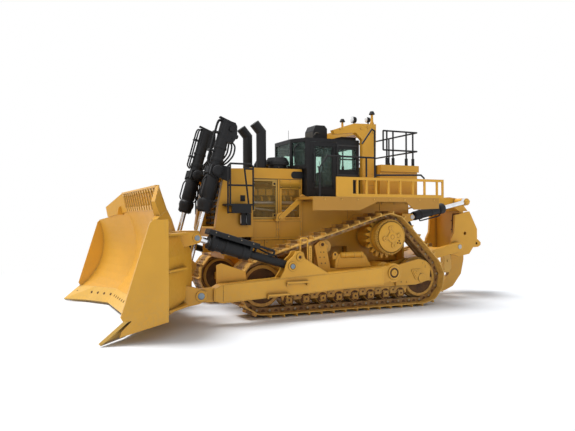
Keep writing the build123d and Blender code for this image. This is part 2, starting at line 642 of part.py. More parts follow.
def lift_cylinders():
    up = along(LIFT_YOKE, LIFT_EYE, -LIFT_ABOVE)
    body = barrel(up, LIFT_EYE, LIFT_Y, LIFT_BARREL_R, LIFT_ROD_R, 0, LIFT_ABOVE + LIFT_BELOW)
    crown = [along(up, LIFT_EYE, -40, 120), along(up, LIFT_EYE, -40, -190), along(up, LIFT_EYE, 330, -230),
             along(up, LIFT_EYE, 420, -110), along(up, LIFT_EYE, 420, 60), along(up, LIFT_EYE, 0, 120)]
    body += slab(crown, LIFT_Y - 95, LIFT_Y + 95)
    body -= bar(spread(LIFT_Y, along(up, LIFT_EYE, 70)), spread(LIFT_Y, along(up, LIFT_EYE, LIFT_ABOVE + 900)),
                LIFT_ROD_R + PIN_GAP)
    for side in (-1, 1):
        body += across(LIFT_YOKE, BARREL_PIN_R, LIFT_Y + side * (LIFT_BARREL_R - 20), LIFT_Y + side * (YOKE_R - 30))
    length = math.dist(LIFT_YOKE, LIFT_EYE)
    rod = bar(spread(LIFT_Y, along(up, LIFT_EYE, LIFT_ABOVE - 60)),
              spread(LIFT_Y, along(up, LIFT_EYE, LIFT_ABOVE + length - 60)), LIFT_ROD_R)
    rod += drum(LIFT_EYE, 115, LIFT_Y - 75, LIFT_Y + 75, 20)
    return body, rod


def lift_yoke():
    """Trunnion ring round a lift barrel: a stub each side, and a bore each side for the barrel's own pins."""
    a = spread(LIFT_Y, along(LIFT_YOKE, LIFT_EYE, -75))
    b = spread(LIFT_Y, along(LIFT_YOKE, LIFT_EYE, 75))
    ring = tube(a, b, YOKE_R, 12) - bar(a, b, LIFT_BARREL_R + 10)
    ring -= across(LIFT_YOKE, BARREL_PIN_R + PIN_GAP, LIFT_Y - YOKE_R + 28, LIFT_Y + YOKE_R - 28)
    for side in (-1, 1):
        ring += across(LIFT_YOKE, YOKE_STUB_R, LIFT_Y + side * (YOKE_R - 27), LIFT_Y + side * 270)
    return ring


def radiator_guard():
    shell = slab([(HOOD_FRONT_X, NOSE_FOOT_Z), (HOOD_FRONT_X, 3400), (2850, 3380), (3000, 2600), (3090, 2000),
                  (3050, NOSE_FOOT_Z)], -NOSE_HALF, NOSE_HALF)
    shell -= block(HOOD_FRONT_X - 1, 2960 - 160, -NOSE_HALF + 60, NOSE_HALF - 60, 1840, 3320)
    shell -= block(2700, 3200, -NOSE_HALF + 150, NOSE_HALF - 150, 2020, 3270)
    for side in (-1, 1):
        for away in (-1, 1):
            near, far = side * LIFT_Y + away * 200, side * LIFT_Y + away * 262
            lug = [(2840, 3060), (2800, 3399), (3080, 3420), (3190, 3340), (3190, 3250), (3080, 3180)]
            shell += slab(lug, *sorted((near, far))) - across(LIFT_YOKE, YOKE_STUB_R + PIN_GAP, -1200, 1200)
    for pin in guard_hinges():
        shell += pin
    return shell


def radiator_grille():
    half = NOSE_HALF - 150 - SEAT
    grille = None
    for y in (-480, -160, 160, 480):
        post = block(2768, 2780, y - 25, y + 25, 2060, 3240)
        grille = post if grille is None else grille + post
    for k in range(9):
        z = 2080 + k * 135
        grille += block(2779, 2812, -half, half, z, z + 60)
    return grille


# ---------------------------------------------------------------- upper works
def hinge_pin(x, side, skin_y, z, way):
    """A hinge's fixed half: a short upright pin, its two ears reaching off the skin away from the door."""
    y = side * (skin_y + HINGE_OUT)
    pin = upright(x, y, z - 95, z + 95, HINGE_PIN_R)
    for lift in (-80, 80):
        pin += block(*sorted((x + way * 10, x - way * 22)), *sorted((side * (skin_y + 8), y)), z + lift - 14,
                     z + lift + 14)
        pin += block(*sorted((x - way * 8, x - way * 70)), *sorted((side * (skin_y - 1), side * (skin_y + 14))),
                     z + lift - 14, z + lift + 14)
    return pin


def hinge_knuckle(x, side, skin_y, z, way):
    """A hinge's moving half: a knuckle round the pin and its leaf on the door, which lies in way's direction."""
    y = side * (skin_y + HINGE_OUT)
    knuckle = upright(x, y, z - 55, z + 55, HINGE_PIN_R + 13)
    knuckle += block(*sorted((x, x + way * 90)), *sorted((side * (skin_y - 1), side * (skin_y + 22))), z - 50, z + 50)
    return knuckle - upright(x, y, z - 60, z + 60, HINGE_PIN_R + PIN_GAP)


def hood():
    shell = slab([(HOOD_REAR_X, 3165), (HOOD_REAR_X, HOOD_TOP_Z), (HOOD_FRONT_X - SEAT, HOOD_TOP_Z),
                  (HOOD_FRONT_X - SEAT, 3165)], -HOOD_HALF, HOOD_HALF)
    shell -= block(HOOD_REAR_X + 40, HOOD_FRONT_X, -HOOD_HALF + 45, HOOD_HALF - 45, 3100, 3350)
    shell += block(HOOD_REAR_X, HOOD_REAR_X + 40, -HOOD_HALF, HOOD_HALF, 2200, 3166)
    for side in (-1, 1):
        shell += block(*POST_X, *sorted((side * (HOOD_HALF - 45), side * HOOD_HALF)), 2200, 3166)
    return shell


def guard_hinges():
    """Pins of the engine doors, on the rear face of the radiator guard's frame."""
    pins = []
    for side in (-1, 1):
        for z in ENGINE_HINGE_Z:
            y = side * (HOOD_HALF + HINGE_OUT)
            pin = upright(ENGINE_DOOR_FRONT_X, y, z - 95, z + 95, HINGE_PIN_R)
            for lift in (-80, 80):
                pin += block(ENGINE_DOOR_FRONT_X - 10, HOOD_FRONT_X + 14, y - 12, y + 12, z + lift - 14, z + lift + 14)
                pin += block(HOOD_FRONT_X, HOOD_FRONT_X + 14, *sorted((y, side * (NOSE_HALF - 59))), z + lift - 14,
                             z + lift + 14)
            pins.append(pin)
    return pins


def engine_panels():
    pieces = []
    for side in (-1, 1):
        y = sorted((side * (HOOD_HALF - 40), side * HOOD_HALF))
        pieces.append(block(HOOD_REAR_X, HOOD_FRONT_X - SEAT, *y, 1700, 2200 - SEAT))
        pieces.append(block(HOOD_REAR_X + 40 + SEAT, POST_X[0] - SEAT, *y, 2200, 3165 - SEAT))
    return pieces


def engine_door(side):
    y = sorted((side * (HOOD_HALF - 40), side * HOOD_HALF))
    door = block(POST_X[1] + DOOR_GAP, ENGINE_DOOR_FRONT_X, *y, 2200 + DOOR_GAP, 3165 - DOOR_GAP)
    for z in ENGINE_HINGE_Z:
        door += hinge_knuckle(ENGINE_DOOR_FRONT_X, side, HOOD_HALF, z, -1)
    return door


def exhaust_stack():
    """A vertical stack whose mitred head turns forward to a slanted outlet."""
    x, y, r = 1770, 457, 122
    low, bend, top = HOOD_TOP_Z + SEAT, 4330, 4640
    stack = extrude(Pos(x, y, low) * RegularPolygon(r, 16), amount=bend + 200 - low)
    lean = Plane(origin=(x, y, bend), z_dir=(1, 0, 1.15))
    head = extrude(lean * RegularPolygon(r, 16), amount=520, both=True)
    split = Plane(origin=(x, y, bend), z_dir=(1, 0, 2.6))
    stack -= extrude(split * Rectangle(1500, 1500), amount=900)
    head = head - extrude(split * Rectangle(1500, 1500), amount=-900)
    head -= extrude(Plane(origin=(1900, y, top - 60), z_dir=(0.75, 0, 1)) * Rectangle(1500, 1500), amount=900)
    return stack + head


def pre_cleaner():
    x, y = 1310, 385
    neck = extrude(Pos(x, y, HOOD_TOP_Z + SEAT) * RegularPolygon(225, 24), amount=110)
    brim = extrude(Pos(x, y, HOOD_TOP_Z + 110) * RegularPolygon(300, 24), amount=70)
    crown = extrude(Pos(x, y, HOOD_TOP_Z + 180) * RegularPolygon(300, 24), amount=110, taper=30)
    return neck + brim + crown


def plan_prism(outline, z0, z1):
    """A prism of the plan outline (x, y), from z0 to z1."""
    face = make_face(Polyline(*[(x, y, z0) for x, y in outline], close=True))
    return extrude(face, amount=z1 - z0, dir=(0, 0, 1))


CAB_REAR_X, CAB_FRONT_X, CAB_NOSE_X = -730.0, 760.0, 990.0
DOOR_X = (-70, 660)
DOOR_Z = (2780, 4110)
SIDE_WINDOW = (-640, -130, 3440, 3950)
REAR_WINDOW_Z = (3440, 4000)
FRONT_WINDOW_Z = (3540, 4100)


def cab_outline(inset, nose):
    """Plan of the cab, set in by a wall: its front is a plain wall or a bowed windscreen."""
    side, front = CAB_HALF - inset, CAB_FRONT_X - inset
    middle = [(CAB_NOSE_X - inset, -480 + inset / 3), (CAB_NOSE_X - inset, 480 - inset / 3)] if nose else []
    return [(CAB_REAR_X + inset, -side), (front, -side), *middle, (front, side), (CAB_REAR_X + inset, side)]


def cab_shell():
    sill = HOOD_TOP_Z + 8
    shell = plan_prism(cab_outline(0, False), DECK_Z, sill) + plan_prism(cab_outline(0, True), sill, CAB_ROOF_Z)
    shell -= plan_prism(cab_outline(CAB_WALL, False), DECK_Z + CAB_WALL, CAB_ROOF_Z - CAB_WALL)
    shell -= plan_prism(cab_outline(CAB_WALL, True), sill + CAB_WALL, CAB_ROOF_Z - CAB_WALL)
    shell += slab([(CAB_REAR_X, CAB_ROOF_Z), (CAB_REAR_X, 4290), (-300, 4290), (40, CAB_ROOF_Z)], -800, 800)
    shell -= block(DOOR_X[0], DOOR_X[1], -1200, 1200, *DOOR_Z)
    shell -= block(SIDE_WINDOW[0], SIDE_WINDOW[1], -1200, 1200, SIDE_WINDOW[2], SIDE_WINDOW[3])
    shell -= block(CAB_REAR_X - 9, CAB_REAR_X + 99, -700, 700, *REAR_WINDOW_Z)
    shell -= block(CAB_NOSE_X - 99, CAB_NOSE_X + 9, -430, 430, *FRONT_WINDOW_Z)
    for side in (-1, 1):
        shell -= plan_prism(windscreen_plan(side, -150, 150), *FRONT_WINDOW_Z)
        for z in CAB_HINGE_Z:
            shell += hinge_pin(DOOR_X[0] + DOOR_GAP, side, CAB_HALF, z, 1)
    return shell


def windscreen_plan(side, inner, outer):
    """Plan of a windscreen quarter: a strip along the slanted front, from inside to outside it."""
    a, b = Vector(CAB_FRONT_X, side * CAB_HALF), Vector(CAB_NOSE_X, side * 480)
    way = (b - a).normalized()
    out = Vector(way.Y * side * -1, way.X * side) * -side
    if out.X < 0:
        out = out * -1
    ends = (a + way * 70, b - way * 45)
    return [tuple(point)[:2] for point in (ends[0] + out * inner, ends[0] + out * outer,
                                           ends[1] + out * outer, ends[1] + out * inner)]


def cab_glass():
    """Panes inside the window openings, each seated on the opening's edge."""
    x0, x1, z0, z1 = SIDE_WINDOW
    panes = [block(CAB_NOSE_X - 40, CAB_NOSE_X - 28, -430 + SEAT, 430 - SEAT, FRONT_WINDOW_Z[0] + SEAT,
                   FRONT_WINDOW_Z[1] - SEAT)]
    panes.append(block(CAB_REAR_X + 24, CAB_REAR_X + 36, -700 + SEAT, 700 - SEAT, REAR_WINDOW_Z[0] + SEAT,
                       REAR_WINDOW_Z[1] - SEAT))
    for side in (-1, 1):
        y = sorted((side * (CAB_HALF - 36), side * (CAB_HALF - 24)))
        panes.append(block(x0 + SEAT, x1 - SEAT, *y, z0 + SEAT, z1 - SEAT))
        quarter = plan_prism(windscreen_plan(side, -40, -28), FRONT_WINDOW_Z[0] + SEAT, FRONT_WINDOW_Z[1] - SEAT)
        panes.append(quarter)
    return panes


def cab_door(side):
    y = sorted((side * (CAB_HALF - 45), side * CAB_HALF))
    gap = DOOR_GAP
    x0, x1, z0, z1 = DOOR_X[0] + gap, DOOR_X[1] - gap, DOOR_Z[0] + gap, DOOR_Z[1] - gap
    door = block(x0, x1, *y, z0, z1)
    door -= block(x0 + 110, x1 - 110, -1200, 1200, 3000, 4000)
    for z in CAB_HINGE_Z:
        door += hinge_knuckle(x0, side, CAB_HALF, z, 1)
    return door


def operator_seat():
    seat = block(-420, 120, -270, 270, 3150, 3290)
    seat += slab([(-560, 3200), (-640, 3900), (-520, 3920), (-400, 3200)], -250, 250)
    return seat + block(-330, 30, -180, 180, DECK_Z + CAB_WALL, 3151)


def rops():
    side_frame = slab([(-1120, DECK_Z), (-1150, 4620), (-500, 4600), (120, 4400), (60, 4300), (-550, 4370),
                       (-740, 4200), (-740, DECK_Z)], CAB_HALF + 12, CAB_HALF + 150)
    frame = side_frame + mirror(side_frame, Plane.XZ)
    frame += block(-1148, -760, -CAB_HALF - 13, CAB_HALF + 13, 4380, 4600)
    for y, top in MASTS:
        frame += upright(MAST_X, y, 4590, top - 60, 20, 8)
        frame += extrude(Pos(MAST_X, y, top - 75) * RegularPolygon(75, 12), amount=75, taper=25)
    return frame


def roof_unit():
    foot = CAB_ROOF_Z + SEAT
    return slab([(60, foot), (450, foot), (450, 4420), (380, 4560), (130, 4560), (60, 4480)], 230, 700)


def fender(side):
    deck = block(-2560, 1050, *sorted((side * DECK_INNER, side * DECK_HALF)), DECK_Z - 60, DECK_Z - SEAT)
    skirt = [(1050, 2400), (1050, DECK_Z - SEAT), (-2560, DECK_Z - SEAT), (-2560, 2450), (-1800, 2420), (-1550, 2610),
             (-700, 2610), (-200, 2400)]
    deck += slab(skirt, *sorted((side * (DECK_HALF - 40), side * DECK_HALF)))
    return deck


def deck_plate():
    return block(-2560, HOOD_REAR_X - SEAT, -DECK_INNER + SEAT, DECK_INNER - SEAT, DECK_Z - 60, DECK_Z - SEAT)


def deck_guard(side):
    """A solid front panel, then open windows between upright bars."""
    y = sorted((side * (DECK_HALF - DECK_GUARD), side * DECK_HALF))
    guard = block(DECK_GUARD_BARS[-1] - DECK_BAR_HALF, 430, *y, DECK_Z + SEAT, DECK_GUARD_TOP_Z)
    for front, rear in zip(DECK_GUARD_BARS, DECK_GUARD_BARS[1:]):
        guard -= block(rear + DECK_BAR_HALF, front - DECK_BAR_HALF, -DECK_HALF - 1, DECK_HALF + 1, DECK_Z + 75,
                       DECK_GUARD_TOP_Z - 65)
    return guard


def deck_rail(side):
    """Handrails over the deck guard: the cab's walkway, the tall post by the door and the low rear rail."""
    y = side * (DECK_HALF - DECK_GUARD / 2)
    foot = DECK_GUARD_TOP_Z + SEAT
    rail = handrail(y, [(870, DECK_Z), (870, 3390), (670, 3670), (-640, 3670), (-640, foot)])
    rail += handrail(y, [(-640, 3660), (-640, 4320), (-560, 4360), (-290, 4000)])
    rail += handrail(y, [(-400, 3670), (-400, foot + RAIL_R)])
    rail += handrail(y, [(-640, 3250), (-2010, 3290), (-2110, foot + RAIL_R)])
    return rail - block(-2500, 1000, -DECK_HALF - 9, DECK_HALF + 9, DECK_Z - 99, DECK_Z + SEAT) - block(
        -2500, 600, -DECK_HALF - 9, DECK_HALF + 9, DECK_Z - 99, foot)


def fuel_tank():
    tank = block(-2320, -1165, -TANK_HALF + 50, TANK_HALF - 50, DECK_Z + SEAT, 3400)
    return tank + block(-2340, -1165, -TANK_HALF, TANK_HALF, 3400, TANK_TOP_Z)


def tank_railing():
    """Two rails round the tank's deck, open to the cab, on posts with thick feet."""
    y = TANK_HALF - 30
    corners = [(-1250, y), (-2300, y), (-2300, -y), (-1250, -y)]
    rail = None
    for x, side_y in [(x, side * y) for x in (-1360, -1550, -1960, -2170) for side in (-1, 1)] + [(-2300, 0)]:
        post = tube((x, side_y, TANK_TOP_Z + SEAT), (x, side_y, 4440))
        post += tube((x, side_y, TANK_TOP_Z + SEAT), (x, side_y, 3750), 40)
        rail = post if rail is None else rail + post
    for z in (3950, 4440):
        for (x0, y0), (x1, y1) in zip(corners, corners[1:]):
            rail += tube((x0, y0, z), (x1, y1, z))
    for x, side_y in (corners[0], corners[-1]):
        rail += tube((x, side_y, 3950), (x, side_y, 4440))
    return rail


def front_steps(side):
    """The ladder's hand frame beside the radiator guard, with its two treads."""
    y = side * (STEPS_Y - RAIL_R)
    front, rear, top = 2920, 2310, 3460
    frame = block(rear, front, *sorted((side * NOSE_HALF, side * STEPS_Y)), 2510, 2550)
    frame += block(rear + 50, front - 90, *sorted((side * (NOSE_HALF + 120), side * STEPS_Y)), 2340, 2370)
    frame += block(rear + 50, front - 90, *sorted((side * (STEPS_Y - 2 * RAIL_R), side * STEPS_Y)), 2369, 2511)
    frame += handrail(y, [(rear, 2400), (rear, top - 60), (rear + 60, top), (front - 60, top), (front, top - 60),
                          (front, 2340)])
    frame += handrail(y, [(front - 55, top - 20), (front - 55, 2520)])
    frame += handrail(y, [(rear, 2970), (front - 30, 2970)])
    frame += handrail(y, [(2520, 3350), (2420, 2540)])
    return frame + handrail(y, [(rear, 3350), (2520, 3350)])


# ---------------------------------------------------------------- ripper
RIPPER_TILT_FRONT = (RIPPER_LINK_FRONT[0] + RIPPER_TILT_REAR[0] - RIPPER_LINK_REAR[0],
                     RIPPER_LINK_FRONT[1] + RIPPER_TILT_REAR[1] - RIPPER_LINK_REAR[1])


def ripper_bracket():
    back = CASE_REAR_X - 0.3
    plate = block(back - 50, back, -1000, 1000, 850, 2330)
    plate += block(back - 50, back, -520, 520, 2330, 2560)
    for side in (-1, 1):
        for away in (-1, 1):
            near, far = side * RIPPER_TILT_Y + away * 60, side * RIPPER_TILT_Y + away * 100
            x, z = RIPPER_TILT_FRONT
            ear = [(back - 49, z - 150), (back - 49, z + 90), (x, z + 90), (x - 90, z), (x, z - 100)]
            plate += slab(ear, *sorted((near, far))) - across((x, z), RIPPER_PIN_R + PIN_GAP, -2000, 2000)
            near, far = side * RIPPER_LIFT_Y + away * 58, side * RIPPER_LIFT_Y + away * 95
            x, z = RIPPER_LIFT_FRONT
            ear = [(back - 49, z - 170), (back - 49, z + 110), (x, z + 90), (x - 90, z), (x, z - 90)]
            plate += slab(ear, *sorted((near, far)))
            near, far = side * 690 + away * 88, side * 690 + away * 140
            x, z = RIPPER_LINK_FRONT
            ear = [(back - 49, z - 120), (back - 49, z + 200), (x, z + 110), (x - 110, z), (x, z - 110)]
            plate += slab(ear, *sorted((near, far)))
        plate += across(RIPPER_LIFT_FRONT, RIPPER_PIN_R, side * RIPPER_LIFT_Y - 58, side * RIPPER_LIFT_Y + 58)
        plate += across(RIPPER_LINK_FRONT, RIPPER_PIN_R, side * 690 - 88, side * 690 + 88)
    return plate


def ripper_link():
    a, b = RIPPER_LINK_FRONT, RIPPER_LINK_REAR
    length = math.dist(a, b)
    arm = [along(a, b, 0, 110), along(a, b, length, 130), along(a, b, length, -130), along(a, b, 0, -110)]
    link = None
    for side in (-1, 1):
        y = side * 690
        piece = slab(arm, y - 80, y + 80) + drum(a, 110, y - 80, y + 80, 20) + drum(b, 130, y - 80, y + 80, 20)
        link = piece if link is None else link + piece
    web = [along(a, b, 260, 90), along(a, b, 1450, 90), along(a, b, 1450, -90), along(a, b, 260, -90)]
    link += slab(web, -611, 611)
    x, z = RIPPER_LIFT_REAR
    for side in (-1, 1):
        link -= block(x - 220, x + 240, side * RIPPER_LIFT_Y - 85, side * RIPPER_LIFT_Y + 85, z - 400, z + 500)
        for centre in (a, b):
            link -= across(centre, RIPPER_PIN_R + PIN_GAP, side * 690 - 90, side * 690 + 90)
    return link


def ripper_link_pins():
    """The two pins at the link's rear, which carry the tool beam."""
    return [across(RIPPER_LINK_REAR, RIPPER_PIN_R, side * 515, side * 780) for side in (-1, 1)]


def ripper_beam():
    cheek = [(-4140, 2290), (-4660, 2400), (-4940, 1890), (-4940, 1560), (-4650, 1180), (-4250, 1110),
             (-3990, 1200), (-3990, 1600), (-4100, 1800)]
    beam = slab(cheek, 520, 595) + slab(cheek, -595, -520)
    beam += slab([(-4360, 1200), (-4360, 2500), (SHANK_X[1] + SEAT, 2500), (SHANK_X[1] + SEAT, 1200)], -521, 521)
    beam += slab([(SHANK_X[0] - SEAT, 1560), (SHANK_X[0] - SEAT, 1900), (-4990, 1900), (-4990, 1560)], -521, 521)
    head = [(-3450, 2600), (-3450, 2760), (-4000, 2800), (-4330, 2760), (-4660, 2410), (-4360, 2400),
            (-4100, 2560)]
    beam += slab(head, -521, 521)
    beam -= block(SHANK_X[0] - SEAT, SHANK_X[1] + SEAT, -SHANK_HALF - SEAT, SHANK_HALF + SEAT, 2000, 3000)
    for side in (-1, 1):
        beam -= across(RIPPER_LINK_REAR, RIPPER_PIN_R + PIN_GAP, side * 510, side * 600)
        beam += drum(RIPPER_TILT_REAR, RIPPER_EYE_R, side * 515, side * (RIPPER_TILT_Y - RIPPER_EYE_HALF - 15), 20)
    hitch = [(-4980, 1600), (-4980, 1800), (-5420, 1560), (HITCH_X, 1480), (HITCH_X, 1400), (-5420, 1340),
             (-5200, 1330)]
    beam += slab(hitch, -110, 110)
    beam -= across(TOW_PIN, TOW_BORE_R, -111, 111)
    beam -= across(CHEEK_BORE, CHEEK_BORE_R, -600, 600) - block(-6000, -4000, -515, 515, 1000, 3000)
    return beam


def ripper_shank():
    back, front = SHANK_X
    outline = [(front, 2620), (front, 980), (-4330, 560), (-4080, 300), (-3940, 90), (-4040, 60), (-4250, 115),
               (-4500, 215), (-4800, 560), (back, 980), (back, 2620)]
    return slab(outline, -SHANK_HALF, SHANK_HALF)


def ripper_tilt_cylinders():
    y = RIPPER_TILT_Y
    a, b = RIPPER_TILT_FRONT, RIPPER_TILT_REAR
    length = math.dist(a, b)
    body = barrel(a, b, y, RIPPER_BARREL_R, RIPPER_ROD_R, 95, length - 820)
    body += eye(a, y, RIPPER_EYE_R, RIPPER_PIN_R, RIPPER_EYE_HALF)
    body -= across(a, RIPPER_PIN_R + PIN_GAP, y - 90, y + 90)
    # the rod's end keeps its own pin, whose nut shows outside, and stands clear of the beam's boss
    rod = bar(spread(y, along(a, b, 500)), spread(y, along(a, b, length)), RIPPER_ROD_R)
    rod += drum(b, RIPPER_EYE_R, y - RIPPER_EYE_HALF, y + RIPPER_EYE_HALF, 20)
    rod += drum(b, RIPPER_PIN_R + 10, y + RIPPER_EYE_HALF - 1, y + RIPPER_EYE_HALF + 30, 12)
    return body, rod


def ripper_lift_cylinders():
    y = RIPPER_LIFT_Y
    a, b = RIPPER_LIFT_FRONT, RIPPER_LIFT_REAR
    length = math.dist(a, b)
    body = barrel(a, b, y, 95, 50, 90, 1010)
    body += eye(a, y, 95, RIPPER_PIN_R, 52)
    body -= across(a, RIPPER_PIN_R + PIN_GAP, y - 90, y + 90)
    rod = bar(spread(y, along(a, b, 560)), spread(y, along(a, b, length)), 50)
    rod += drum(b, 80, y - 55, y + 55, 16)
    return body, rod


# ---------------------------------------------------------------- write every node
track_left = track()
save("track_left", track_left)
save("track_right", mirror(track_left, Plane.XZ))
save("track_frames", *both(track_frame()))
save("final_drives", *both(final_drive()))
idlers = []
for centre in (FRONT_IDLER, REAR_IDLER):
    idlers += both(idler(centre))
save("idlers", *idlers)
rollers = []
for k in range(ROLLER_COUNT):
    rollers += both(roller(ROLLER_FIRST_X + k * ROLLER_STEP))
rollers += both(drum(CARRIER, CARRIER_R, GAUGE_HALF - LINK_OUTER_Y, GAUGE_HALF + LINK_OUTER_Y, 16))
save("track_rollers", *rollers)
save("equalizer_bar", equalizer_bar())
save("main_frame", main_frame())
save("pivot_shafts", *both(pivot_shaft()))
save("push_arms", *both(push_arm()))
save("blade", blade())
save("cutting_edges", *cutting_edges())
save("rock_guard", *rock_guard())
tilt_barrel, tilt_rod = tilt_cylinders()
save("tilt_barrels", *both(tilt_barrel))
save("tilt_rods", *both(tilt_rod))
lift_barrel, lift_rod = lift_cylinders()
save("lift_barrels", *both(lift_barrel))
save("lift_rods", *both(lift_rod))
save("lift_yokes", *both(lift_yoke()))
save("radiator_guard", radiator_guard())
save("radiator_grille", radiator_grille())
save("hood", hood())
save("engine", block(950, 2150, -480, 480, RAIL_TOP_Z + SEAT, 2950))
save("engine_panels", *engine_panels())
save("engine_door_left", engine_door(1))
save("engine_door_right", engine_door(-1))
save("exhaust_stacks", *both(exhaust_stack()))
save("pre_cleaners", *both(pre_cleaner()))
save("cab_shell", cab_shell())
save("cab_glass", *cab_glass())
save("cab_door_left", cab_door(1))
save("cab_door_right", cab_door(-1))
save("operator_seat", operator_seat())
save("rops", rops())
save("roof_unit", roof_unit())
save("fenders", fender(1), fender(-1))
save("deck_plate", deck_plate())
save("deck_guards", deck_guard(1), deck_guard(-1))
save("deck_rails", deck_rail(1), deck_rail(-1))
save("fuel_tank", fuel_tank())
save("tank_railing", tank_railing())
save("front_steps", front_steps(1), front_steps(-1))
save("ripper_bracket", ripper_bracket())
save("ripper_link", ripper_link())
save("ripper_link_pins", *ripper_link_pins())
save("ripper_beam", ripper_beam())
save("ripper_shank", ripper_shank())
ripper_tilt_barrel, ripper_tilt_rod = ripper_tilt_cylinders()
save("ripper_tilt_barrels", *both(ripper_tilt_barrel))
save("ripper_tilt_rods", *both(ripper_tilt_rod))
ripper_lift_barrel, ripper_lift_rod = ripper_lift_cylinders()
save("ripper_lift_barrels", *both(ripper_lift_barrel))
save("ripper_lift_rods", *both(ripper_lift_rod))
tilt_pins = [across(RIPPER_TILT_FRONT, RIPPER_PIN_R, y - 105, y + 105) for y in (RIPPER_TILT_Y, -RIPPER_TILT_Y)]
save("ripper_tilt_pins", *tilt_pins)
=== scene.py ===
"""Looks of the track-type bulldozer: finish, small parts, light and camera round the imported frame.

Metres. Stations along X are counted from the middle of the tracks' ground contact, as on the drawing;
at() and the Shape builder turn them into the frame's own X.
"""

import json
import math
import bmesh
import bpy
from mathutils import Matrix, Vector


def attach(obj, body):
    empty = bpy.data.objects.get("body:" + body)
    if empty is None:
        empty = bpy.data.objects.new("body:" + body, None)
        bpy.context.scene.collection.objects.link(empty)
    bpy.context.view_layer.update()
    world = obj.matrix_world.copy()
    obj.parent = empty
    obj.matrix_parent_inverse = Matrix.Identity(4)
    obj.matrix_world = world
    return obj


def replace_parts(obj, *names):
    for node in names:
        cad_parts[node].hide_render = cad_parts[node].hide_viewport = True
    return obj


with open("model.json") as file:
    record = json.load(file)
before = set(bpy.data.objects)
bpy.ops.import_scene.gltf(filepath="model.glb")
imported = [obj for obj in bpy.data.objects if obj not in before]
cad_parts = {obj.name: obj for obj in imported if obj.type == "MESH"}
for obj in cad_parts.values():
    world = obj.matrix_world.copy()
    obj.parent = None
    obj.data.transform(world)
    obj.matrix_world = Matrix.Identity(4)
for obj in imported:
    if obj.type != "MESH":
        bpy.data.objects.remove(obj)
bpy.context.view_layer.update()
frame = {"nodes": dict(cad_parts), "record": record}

# ---------------------------------------------------------------- driving dimensions
STATION_X = -0.25            # the frame's X of station 0
CAMERA_AT = (7.232, 14.173, 2.201)
CAMERA_YAW, CAMERA_PITCH, CAMERA_ROLL = 25.075, -0.326, -0.222
CAMERA_LENS = 37.9

GAUGE_HALF = 1.445
LINK_OUT = 0.165             # outside of a link strand, from the chain's middle
TRACK_PITCH = 0.318
SPROCKET = (-1.1, 1.75)
CARRIER = (0.62, 1.55)
FRONT_IDLER = (2.25, 0.7)
REAR_IDLER = (-2.08, 0.7)
IDLER_PIN_R, SPROCKET_PIN_R, CARRIER_PIN_R = 0.56, 0.515, 0.216
PIVOT = (-0.92, 0.91)
HUB_FACE_Y = 1.85
ARM_FACE_Y = 2.3
TILT_BACK, TILT_FRONT = (1.81, 1.17), (3.94, 1.82)
TILT_Y = 2.15
LIFT_Y = 0.8
LIFT_YOKE, LIFT_EYE = (3.1, 3.3), (3.7, 1.15)
BLADE_PIN = (3.87, 0.64)
BLADE_HALF, BLADE_CENTRE = 3.35, 1.95
WING_SET = 0.76
HOOD_HALF, NOSE_HALF, CAB_HALF, ROPS_HALF = 0.75, 0.88, 0.95, 1.1   # outer faces, from the middle
FILM = 0.0002                # how far a thin trim stands off the face it lies on
ENGINE_DOOR = (1.468, 2.152, 2.206, 3.159)   # x, x, z, z
SEAT_HALF = 0.262
MAST_X, MASTS = -1.09, ((1.0, 4.96), (-0.5, 4.99))   # each mast's y and top
DECK_EDGE = 1.83
RIPPER_TILT_FRONT, RIPPER_TILT_REAR = (-2.35, 2.24), (-4.24, 2.66)
RIPPER_LIFT_FRONT, RIPPER_LIFT_REAR = (-2.42, 2.44), (-3.04, 1.18)
RIPPER_Y, RIPPER_LIFT_Y = 0.9, 0.42
SHOE_FACE = 0.074            # from the pin line out to the shoe's face
ROLLER_FIRST_X, ROLLER_STEP, ROLLER_COUNT, ROLLER_Z = -1.48, 0.44, 8, 0.3504


def at(x, y, z):
    """The frame's point for a station, a distance to the left and a height."""
    return Vector((x + STATION_X, y, z))


def between(a, b, share):
    """The point at a share of the way from a to b."""
    return (a[0] + (b[0] - a[0]) * share, a[1] + (b[1] - a[1]) * share)


